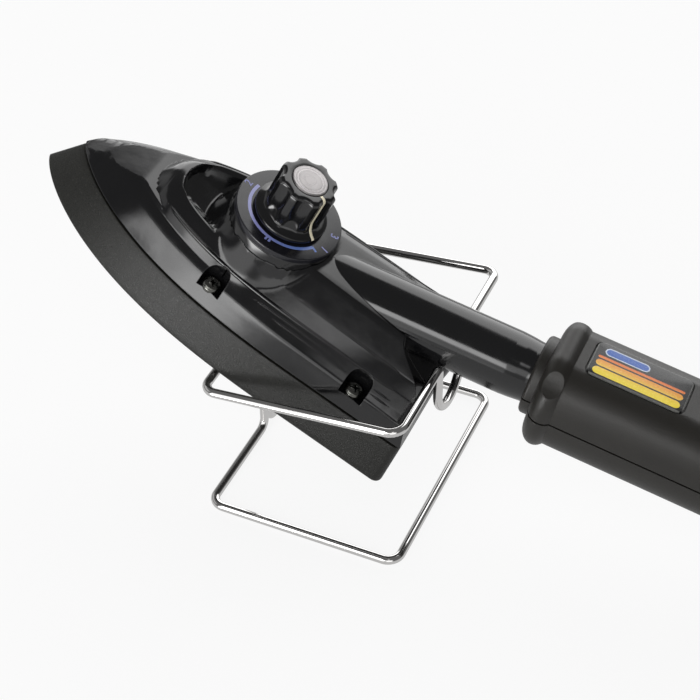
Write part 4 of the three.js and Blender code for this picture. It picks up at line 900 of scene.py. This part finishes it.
# A ring round the dial's axis: the profile is a closed loop of radius and height
def ringPiece(name, profile, place, reach=0.25, sides=96, steps=5):
    loop = np.array(profile, float)
    loop = np.vstack([(loop[-1] + loop[0]) / 2, loop, (loop[-1] + loop[0]) / 2])
    line = roundCorners(loop[None], reach, steps)[0][:-1]
    angle = fullTurn(sides)[:, None]
    points = place(line[:, 0] * np.cos(angle), line[:, 0] * np.sin(angle), line[:, 1])
    return ringSkin(name, points, joinRows=True)


# The dial: a ring round the knob's axis with rounded edges
def printedDial():
    top, radius = ironSizes["dialTop"], dial["radius"]
    low, bore = top - dial["thickness"], dial["bore"]
    profile = [[bore, low], [radius, low], [radius, top], [bore, top]]
    piece = ringPiece("printed_dial", profile, onDial, 0.28, 160)
    return settle(smooth(piece, 40), "iron", "gloss", "dial_disc", material=dialFinish())


# Plain numbers, raised a little from the dial
def dialNumber(name, text, degrees, radius, tilt):
    letters = bpy.data.curves.new(name, "FONT")
    letters.body, letters.size, letters.extrude = text, dial["numberSize"], dial["numberRise"]
    letters.align_x, letters.align_y = "CENTER", "CENTER"
    letters.resolution_u = 6
    letters.offset = 0.02
    holder = addObject(name, letters)
    graph = bpy.context.evaluated_depsgraph_get()
    mesh = bpy.data.meshes.new_from_object(holder.evaluated_get(graph))
    bpy.data.objects.remove(holder)
    flat = np.zeros(len(mesh.vertices) * 3)
    mesh.vertices.foreach_get("co", flat)
    x, y, z = flat.reshape(-1, 3).T
    turn = math.radians(degrees)
    lean = math.radians(tilt)
    across, up = x * math.cos(lean) - y * math.sin(lean), x * math.sin(lean) + y * math.cos(lean)
    x, y = radius * math.cos(turn) + across, radius * math.sin(turn) + up
    placed = onDial(x, y, ironSizes["dialTop"] + z)
    mesh.vertices.foreach_set("co", placed.ravel())
    tidyMesh(mesh)
    return addObject(name, mesh)


# Ink of the numbers: one noise for colour, roughness and bump
def numberFinish():
    return noiseFinish("dial ink", (0.4, 2), ((0.20, 0.22, 0.48), (0.26, 0.27, 0.52)), (0.4, 2),
                       (0.35, 0.5), 0.01)


# Knob: lobes and flutes above a thin skirt
knob = {"height": 12.1, "lobe": 7.1, "skirt": 8.8, "skirtHeight": 2.2, "flute": 3.1, "fluteOut": 2.15,
        "lobes": 8, "cap": 4.3, "seat": 0.95, "shoulder": 1.1, "gap": 0.3, "well": 3, "wellRadius": 5.84,
        "bore": 2.8, "boreTop": 2.6, "grub": 1.8}
knobBottom, knobTop = ironSizes["dialTop"] + knob["gap"], ironSizes["dialTop"] + knob["height"]


# Radius of the knob's side at an angle: the lobe's radius, less a share of how far a round groove of the
# flute's radius goes in there
def lobeRadius(angle, depth):
    turn = 2 * np.pi / knob["lobes"]
    off = (angle + turn / 2) % turn - turn / 2
    centre = knob["lobe"] + knob["fluteOut"]
    across = centre * np.sin(off)
    groove = centre * np.cos(off) - np.sqrt(np.maximum(knob["flute"] ** 2 - across ** 2, 0))
    sunk = np.where(np.abs(across) < knob["flute"], np.maximum(knob["lobe"] - groove, 0), 0)
    return knob["lobe"] - depth * sunk


# The knob's profile from the bottom up, as levels of height, plain radius, and how deep the flutes are
def knobLevels():
    bottom, top = knobBottom, knobTop
    skirt = bottom + knob["skirtHeight"]
    lobe, shoulder = knob["lobe"], knob["shoulder"]
    rise = np.linspace(0, 1, 15)
    turn = quarterTurn(9)
    wide = knob["skirt"]
    levels = [(bottom, wide - 0.15, 0), (bottom + 0.15, wide, 0), (bottom + 0.9, wide, 0),
              (bottom + 1.15, wide - 0.12, 0), (skirt - 0.75, wide - 0.9, 0),
              (skirt - 0.35, lobe + 0.25, 0.12)]
    levels += [(skirt + 2.3 * r, lobe, 0.25 + 0.75 * math.sin(r * np.pi / 2)) for r in rise]
    levels += [(h, lobe, 1) for h in np.linspace(skirt + 2.6, top - shoulder, 6)]
    levels += [(top - shoulder * (1 - math.sin(a)), lobe - shoulder * (1 - math.cos(a)),
                1 - 0.25 * math.sin(a)) for a in turn[1:]]
    levels += [(top, knob["cap"] + 0.55, 0.0), (top - 0.05, knob["cap"] + 0.25, 0.0)]
    return np.array(levels)


# The knob's side at some angles: each level's radius, drawn in by the flutes where they are cut
def knobSurface(angle):
    levels = knobLevels()
    height, plain, depth = (levels[:, column, None] for column in range(3))
    lobed = lobeRadius(angle, depth)
    return np.where(depth > 0, np.minimum(plain, plain - knob["lobe"] + lobed), plain), height


# The lobed side, cut by the cap's seat, the hollow below, the bore and the grub screw's hole
def lobedKnob():
    angle = fullTurn(320)
    radius, height = knobSurface(angle)
    bottom, top = knobBottom, knobTop
    piece = ringSkin("lobed_knob", onKnob(radius * np.cos(angle), radius * np.sin(angle), height))
    seat = plugPiece("seat", knob["cap"] + 0.15, top - knob["seat"], top + 1, onKnob, 0.05, 96)
    well = plugPiece("well", knob["wellRadius"], bottom - 1, bottom + knob["well"], onKnob, 0.2, 64)
    bore = plugPiece("bore", knob["bore"], bottom, top - knob["boreTop"], onKnob)
    middle = (bottom + knob["well"] + top) / 2
    grub = plugPiece("grub", knob["grub"], -9, -1.5, lambda x, y, h: onKnob(h, x, middle + y), 0.05, 32)
    carve(piece, (cut, seat), (cut, well), (cut, bore), (cut, grub))
    gloss = glossFinish("knob gloss", 0.18)
    return settle(smooth(piece, 38), "knob", "gloss", "knob_body", material=gloss)


# The cap, spun with fine rings: its noise changes with the radius alone
def knobCap():
    top, radius = knobTop, knob["cap"]
    piece = turnedPiece("spun_cap", [[0, top - 0.65], [radius, top - 0.65], [radius, top + 0.05],
                                     [radius - 0.2, top + 0.25], [0, top + 0.25]], onKnob, 0.06, 128)
    made, shade = finish("spun aluminium")
    place = shade.places(onDial(0, 0, ironSizes["dialTop"]), solePitch)
    x, y, z = shade.split(place)
    radius = (x * x + y * y) ** 0.5
    rings = shade.noise(shade.vector(radius * 14, 0.5, 0.5), 1, 3)
    shade.surface(shade.blend(rings, (0.44, 0.42, 0.42), (0.34, 0.325, 0.325)), rings, (0.25, 0.4), 0.05,
                  metallic=1.0)
    return settle(smooth(piece, 40), "knob", "cap", "knob_cap", material=made)


# A painted stripe: half its width, how far it stands off the knob, and how far it reaches in
pointer = {"half": 0.36, "lift": 0.07, "sink": 0.25}


# The pointer follows the knob's surface from the cap down a flute to the skirt
def knobPointer():
    half, lift, sink = pointer["half"], pointer["lift"], pointer["sink"]
    radius, height = knobSurface(np.array([0.0]))
    line = np.stack([radius[:, 0], height[:, 0]], axis=1)[2:]
    step = np.gradient(line, axis=0)
    out = np.stack([step[:, 1], -step[:, 0]], axis=1)
    out /= np.linalg.norm(out, axis=1, keepdims=True)
    y = np.array([-half, -half * 0.85, half * 0.85, half, half, -half])
    rise = np.array([lift * 0.5, lift, lift, lift * 0.5, -sink, -sink])
    x = line[:, :1] + out[:, :1] * rise
    h = line[:, 1:] + out[:, 1:] * rise
    piece = ringSkin("pointer_stripe", onKnob(x, y, h))
    return settle(smooth(piece, 40), "knob", "cream", "knob_pointer")


# Grip: two shells along the neck's axis
grip = {"flangeStart": 14.7, "flangeLength": 2.5, "flangeRadius": 9.45, "bolster": 6.7, "swell": 1.1,
        "end": 150, "halfWidth": 13.4, "halfHeight": 11.8, "crown": 12.3, "power": 2.6, "wall": 2.3,
        "endRound": 5, "endWall": 3.2, "seam": 0.5,
        "fluteRadius": 10, "fluteOut": 18.03, "fluteHeight": 15.95, "beadDepth": 3.9,
        "ribs": ((31.4, 33.7), (37.3, 39.6), (141.4, 143.8)), "posts": (58, 126),
        "post": 3.2, "postEnd": 10.65, "postHole": 1.45, "postSink": 2.6, "bars": (87.6, 95.8),
        "saddle": (136, 141), "saddleHole": 1.4, "saddleHoleX": 138.5, "saddleHoleY": 6,
        "bores": ((7.5, 0, 46.3), (5.5, 137.2, 152))}
gripStart = grip["flangeStart"] + grip["flangeLength"]
bolsterEnd = gripStart + grip["bolster"]


# The grip's section: a superellipse a little taller than the grip, cut flat at the grip's height
def gripRings(x, grow, count=96):
    x, grow = np.array(x, float)[:, None], np.array(grow, float)[:, None]
    angle = fullTurn(count)
    share = 2 / grip["power"]
    y = (grip["halfWidth"] + grow) * squared(np.cos(angle), share)
    z = (grip["crown"] + grow) * squared(np.sin(angle), share)
    limit = grip["halfHeight"] + grow
    return onHandle(x, y, np.clip(z, -limit, limit))


# The closed grip. The bolster's bead grows by swell - depth * (1 - cosine) along a half turn and meets
# the body behind. The straight body ends in a quarter round.
def gripHull(name):
    start, last, end, endRound = gripStart, bolsterEnd, grip["end"], grip["endRound"]
    bead = np.linspace(-np.pi / 2, np.pi / 2, 25)
    beadX = (start + last) / 2 + grip["bolster"] / 2 * np.sin(bead)
    beadGrow = grip["swell"] - grip["beadDepth"] * (1 - np.cos(bead))
    beadGrow = np.where(bead > 0, np.maximum(beadGrow, 0), beadGrow)
    bodyX = np.linspace(last + 1.5, end - endRound, 24)
    turn = quarterTurn(7)[1:]
    x = np.concatenate([beadX, bodyX, end - endRound * (1 - np.sin(turn))])
    grow = np.concatenate([beadGrow, 0 * bodyX, -0.7 * endRound * (1 - np.cos(turn))])
    return ringSkin(name, gripRings(x, grow))


# One half: the hull with its flange, less the hollow, with ribs, bores and flutes, trimmed half a seam
# from the middle, then posts with holes. The lower half also has bars and a saddle.
def gripShell(name, upper, node):
    start, last, wall, end = gripStart, bolsterEnd, grip["wall"], grip["end"]
    piece = gripHull(name)
    low, radius = grip["flangeStart"], grip["flangeRadius"]
    flange = rodPiece("flange", [[0, low], [radius - 0.6, low], [radius, low + 0.6], [radius, start + 1],
                                 [0, start + 1]], reach=0.35, sides=96)
    rear = end - grip["endWall"]
    hollow = gripRings([start + 3, rear - grip["endRound"], rear], [-wall, -wall, -wall - 2])
    hollow = ringSkin("hollow", hollow)
    steps = [(join, flange), (cut, hollow)]
    for x0, x1 in grip["ribs"]:
        steps.append((join, ringSkin("rib", gripRings([x0, x1], [-wall / 2, -wall / 2]))))
    steps += [(cut, rodPlug("hole", *bore)) for bore in grip["bores"]]
    for side in (-1, 1) if upper else ():
        place = side * grip["fluteOut"], grip["fluteHeight"]
        steps.append((cut, rodPlug("groove", grip["fluteRadius"], start - 2, last + 2, *place)))
    z0, z1 = (grip["seam"] / 2, 40) if upper else (-40, -grip["seam"] / 2)
    steps.append((trim, boxPiece("half", 0, 160, -40, 40, z0, z1, onHandle)))
    post = (grip["seam"] / 2, grip["postEnd"]) if upper else (-grip["postEnd"], -grip["seam"] / 2)
    hole = (-2, 5.8) if upper else (-40, 40)
    for x in grip["posts"]:
        steps.append((join, plugPiece("post", grip["post"], *post, nearHandle(x))))
        steps.append((cut, plugPiece("hole", grip["postHole"], *hole, nearHandle(x), 0.05, 24)))
        if not upper:
            steps.append((cut, plugPiece("sink", grip["postSink"], -40, -7, nearHandle(x), 0.05)))
    if upper:
        seat = labelOutline(0.3)
        steps.append((cut, prismPiece("seat", seat, grip["halfHeight"] - 0.5, 20, onHandle)))
    else:
        inside, half = grip["halfHeight"] - wall / 2, grip["halfWidth"] - wall / 2
        bars = [(x, x + 1.6, half, -4.3) for x in grip["bars"]] + [(*grip["saddle"], 8.2, -3)]
        for x0, x1, reach, high in bars:
            bar = boxPiece("bar", x0, x1, -reach, reach, -inside, high, onHandle)
            hull = ringSkin("hull", gripRings([80, 145], [-0.2, -0.2]))
            steps.append((join, carve(bar, (trim, hull))))
        for side in (-1, 1):
            place = nearHandle(grip["saddleHoleX"], side * grip["saddleHoleY"])
            steps.append((cut, plugPiece("hole", grip["saddleHole"], -7.2, 0, place, 0.05, 20)))
    return settle(smooth(carve(piece, *steps), 24), "iron", "satin", node)


# Label: a thin printed plate in a shallow seat on top of the grip
label = {"start": 25.5, "end": 48.3, "halfWidth": 5.55, "thickness": 0.6, "corner": 1.6, "rim": 0.3,
         "ground": (0.012, 0.012, 0.012), "frame": (0.10, 0.10, 0.095),
         "warm": ((0.86, 0.66, 0.05), (0.74, 0.16, 0.03))}
# Bars on the label: ends, middle, half width, and a colour of their own or none for the warm blend
labelBars = [
    (26.6, 47.2, -3.7, 1.15, None),
    (26.6, 47.2, -1.1, 1.0, None),
    (26.6, 47.2, 0.75, 0.4, None),
    (27.6, 38.2, 3.1, 1.25, (0.55, 0.62, 0.74)),
    (27.9, 37.9, 3.1, 0.95, (0.02, 0.10, 0.42)),
]


# The label's outline: a rectangle with round corners, grown by an amount
def labelOutline(grow):
    radius = label["corner"] + grow
    turn = quarterTurn(9)
    x0, x1 = label["start"] - grow + radius, label["end"] + grow - radius
    half = label["halfWidth"] + grow - radius
    corners = []
    for quarter, (x, y) in enumerate([(x1, half), (x0, half), (x0, -half), (x1, -half)]):
        angle = turn + quarter * np.pi / 2
        corners.append(np.stack([x + radius * np.cos(angle), y + radius * np.sin(angle)], axis=1))
    return np.vstack(corners)


# The label's print: a point is inside a bar where its distance to the bar's middle line is below the
# half width. The warm ink blends from yellow to red across the label.
def labelFinish():
    made, shade = finish("printed label")
    place = shade.places(onHandle(0, 0, 0), solePitch - neckRise)
    x, y, z = shade.split(place)
    warm = shade.blend(shade.ramp(y, -3.6, 1.0, curve="LINEAR"), *label["warm"])
    colour = label["ground"]
    for x0, x1, middle, half, own in labelBars:
        past = (x - (x0 + x1) / 2).size() - ((x1 - x0) / 2 - half)
        past = past.maths("MAXIMUM", past, 0)
        inside = (past * past + (y - middle) * (y - middle)).below(half * half)
        colour = shade.blend(inside, colour, own or warm)
    middle, half = (label["start"] + label["end"]) / 2, (label["end"] - label["start"]) / 2
    rim = (x - middle).size().above(half - label["rim"])
    rim = rim.maths("MAXIMUM", rim, y.size().above(label["halfWidth"] - label["rim"]))
    colour = shade.blend(rim, colour, label["frame"])
    shade.surface(colour, shade.noise(place, 0.5, 2), (0.2, 0.3), 0.008, 0.1, ior=1.5)
    return made


# The plate: its outline at a few heights, drawn in a little at the upper edge
def labelPlate():
    low, high = grip["halfHeight"] - 0.2, grip["halfHeight"] + label["thickness"] - 0.2
    rings = []
    for height, grow in ((low, 0), (high - 0.15, 0), (high - 0.04, -0.04), (high, -0.15)):
        outline = labelOutline(grow)
        rings.append(onHandle(outline[:, 0], outline[:, 1], height))
    piece = ringSkin("striped_label", rings)
    return settle(smooth(piece, 50), "iron", "label", "label_plate", material=labelFinish())


# Gland at the grip's end: its profile along the handle's axis, as pairs of radius and x
gland = {"bore": 3.3, "start": 142, "end": 159,
         "profile": [[0, 144.1], [7, 144.1], [7, 146.5], [5.2, 146.5], [5.2, 150], [4.95, 152],
                     [5.1, 152.4], [4.8, 154.2], [4.95, 154.6], [4.6, 156.6], [4.3, 157], [0, 157]]}


# The profile turned about the handle's axis, and bored through
def cordGland():
    piece = rodPiece("ribbed_gland", gland["profile"], reach=0.2)
    carve(piece, (cut, rodPlug("bore", gland["bore"], gland["start"], gland["end"], sides=48)))
    return settle(smooth(piece, 40), "iron", "satin", "cord_gland")


wireStand()
print("stand made")
solePlate()
coverShell()
screwNodes = [f"cover_screw_{end}_{side}" for end in ("front", "rear") for side in ("near", "far")]
for (s, t), node in zip(screwPlaces(), screwNodes):
    crossScrew(node.replace("cover", "cross"), s, t, node)
print("sole, cover and screws made")
printedDial()
for number in dial["numbers"]:
    settle(dialNumber(*number), "iron", "gloss", material=numberFinish())
lobedKnob()
knobCap()
knobPointer()
print("dial and knob made")
gripShell("upper_grip", True, "grip_upper")
gripShell("lower_grip", False, "grip_lower")
labelPlate()
cordGland()
print("handle made")

# CAD nodes that stay get their finish
stays = {
    "steel": ["heating_element", "clamp_plate", "clamp_screw_front", "clamp_screw_rear",
              "thermostat_frame", "stack_screw", "spindle", "knob_grub_screw", "grip_screw_front",
              "grip_screw_rear", "clamp_bar_screw_near", "clamp_bar_screw_far"],
    "brass": ["contact_blade", "bimetal_blade", "spindle_bush", "bush_nut", "terminal_screw_near",
              "terminal_screw_far"],
    "ceramic": ["ceramic_spacer_upper", "ceramic_spacer_lower", "adjusting_pin", "terminal_block"],
    "mica": ["insulation_sheet"],
    "satin": ["cord_clamp"],
    "sleeve": ["lead_wire_near", "lead_wire_far"],
}
for slot, names in stays.items():
    for name in names:
        node = frame["nodes"][name]
        node.data.materials.clear()
        node.data.materials.append(finishes[slot])
print("inner pieces finished")

# Stage: a pale floor and a surround of soft boxes on darkness, with soft lamps for the dull pieces
stage = {"floorSize": 6, "floorColour": (0.82, 0.82, 0.82), "floorWhite": 0.88, "base": 0.14,
         "floorGlow": 0.6, "pool": 8.0, "poolMiddle": 30, "poolEdge": (8, 18), "poolStart": (0.02, 0.09),
         "lampPower": 9.0, "lampSize": 1.6,
         "lamps": {"lamp_front": (0.3, -1.3, 1.5), "lamp_back": (-0.4, 1.2, 1.6)}}
# Each soft box: its middle and half width as degrees from -Y towards -X, its lower and upper edge as
# degrees of elevation, the rise of those edges for each degree across, how soft it is in degrees, and its
# strength; one below zero is a dark screen
softBoxes = [
    (-4, 44, -10, 34, 0, 6, 1.25),
    (-7, 9, -22, 14, 0, 6, -1.0),
    (16, 19, 26, 42, 0.62, 3, 3.6),
    (30, 10, -10, 4, 0, 4, 6.0),
    (-29, 7, 44, 53, 0, 2.5, 1.6),
    (171, 35, -10, 48, 0.6, 6, 2.1),
    (92, 34, 12, 36, 0, 9, 0.35),
]


# A matrix at a place whose back, its own Z, points one way and whose X stays level
def aimed(back, place):
    back = back / np.linalg.norm(back)
    right = np.cross([0, 0, 1], back)
    right /= np.linalg.norm(right)
    turned = np.eye(4)
    turned[:3, :3] = np.stack([right, np.cross(back, right), back], axis=1)
    turned[:3, 3] = place
    return Matrix(turned.tolist())


# The camera sees white, with a little of the floor's own shading. Other rays see a floor glow with a
# bright pool, and a surround of a base plus each soft box, full within its edges and fading past them.
def makeStage():
    corner = stage["floorSize"] / 2
    places = corner * np.array([[-1, -1, 0], [1, -1, 0], [1, 1, 0], [-1, 1, 0]], float)
    mesh = bpy.data.meshes.new("floor")
    mesh.from_pydata(places.tolist(), [], [[0, 1, 2, 3]])
    floor = addObject("floor", mesh)
    made, shade = finish("pale floor")
    seen = shade.node("ShaderNodeLightPath", output="Is Camera Ray")
    plain = shade.node("ShaderNodeBsdfDiffuse", values={"Color": stage["floorColour"]})
    glow = shade.node("ShaderNodeEmission", values={"Color": white, "Strength": 1.0})
    x, y, z = shade.split(shade.node("ShaderNodeTexCoord", output="Object"))
    x = x - ironHeel[0] / 2
    away = (x.maths("ARCTAN2", x * -1, y * -1) * degree - stage["poolMiddle"]).size()
    pool = shade.ramp(away, *stage["poolEdge"], 1, 0) * shade.ramp(x * x + y * y, *stage["poolStart"])
    lit = pool * stage["pool"] + stage["floorGlow"]
    dim = shade.node("ShaderNodeEmission", values={"Color": white, "Strength": lit})
    shown = shade.node("ShaderNodeMixShader", values={0: stage["floorWhite"], 1: plain, 2: glow})
    mixed = shade.node("ShaderNodeMixShader", values={0: seen, 1: dim, 2: shown})
    shade.node("ShaderNodeOutputMaterial", values={"Surface": mixed})
    floor.data.materials.append(made)

    world = bpy.data.worlds.new("surround")
    bpy.context.scene.world = world
    shade = Shade(world)
    x, y, z = shade.split(shade.node("ShaderNodeTexCoord", output="Generated"))
    azimuth = x.maths("ARCTAN2", x * -1, y * -1) * degree
    elevation = x.maths("ARCSINE", z) * degree
    strength = stage["base"]
    for middle, half, low, high, rise, soft, power in softBoxes:
        away = x.maths("WRAP", azimuth - middle, 180, -180)
        across = shade.ramp(away.size(), half - soft, half + soft, 1, 0)
        level = elevation - away * rise
        upward = shade.ramp(level, low - soft, low + soft)
        upward = upward * shade.ramp(level, high - soft / 2, high + soft / 2, 1, 0)
        strength = across * upward * power + strength
    seen = shade.node("ShaderNodeLightPath", output="Is Camera Ray")
    strength = seen + (1 - seen) * strength
    shown = shade.node("ShaderNodeBackground", values={"Color": white, "Strength": strength})
    shade.node("ShaderNodeOutputWorld", values={"Surface": shown})

    for name, place in stage["lamps"].items():
        light = bpy.data.lights.new(name, "AREA")
        light.shape, light.size, light.energy = "DISK", stage["lampSize"], stage["lampPower"]
        lamp = addObject(name, light)
        lamp.matrix_world = aimed(np.array(place, float), place)
        lamp.visible_glossy = False


makeStage()

# Camera at the photograph's angle, placed from the iron's heel
camera = {"place": (0.10506, -0.2796, 0.28217), "forward": (-0.3033, 0.6881, -0.6592), "lens": 87.43,
          "sensor": 36, "nearest": 0.01, "furthest": 20}


# The camera at its place from the heel, looking forward
def makeCamera():
    lens = bpy.data.cameras.new("camera")
    lens.lens, lens.sensor_width = camera["lens"], camera["sensor"]
    lens.clip_start, lens.clip_end = camera["nearest"], camera["furthest"]
    seen = addObject("camera", lens)
    seen.matrix_world = aimed(-np.array(camera["forward"]), ironHeel + camera["place"])
    bpy.context.scene.camera = seen


makeCamera()
bpy.context.scene.view_settings.view_transform = "Standard"
print("stage and camera made")
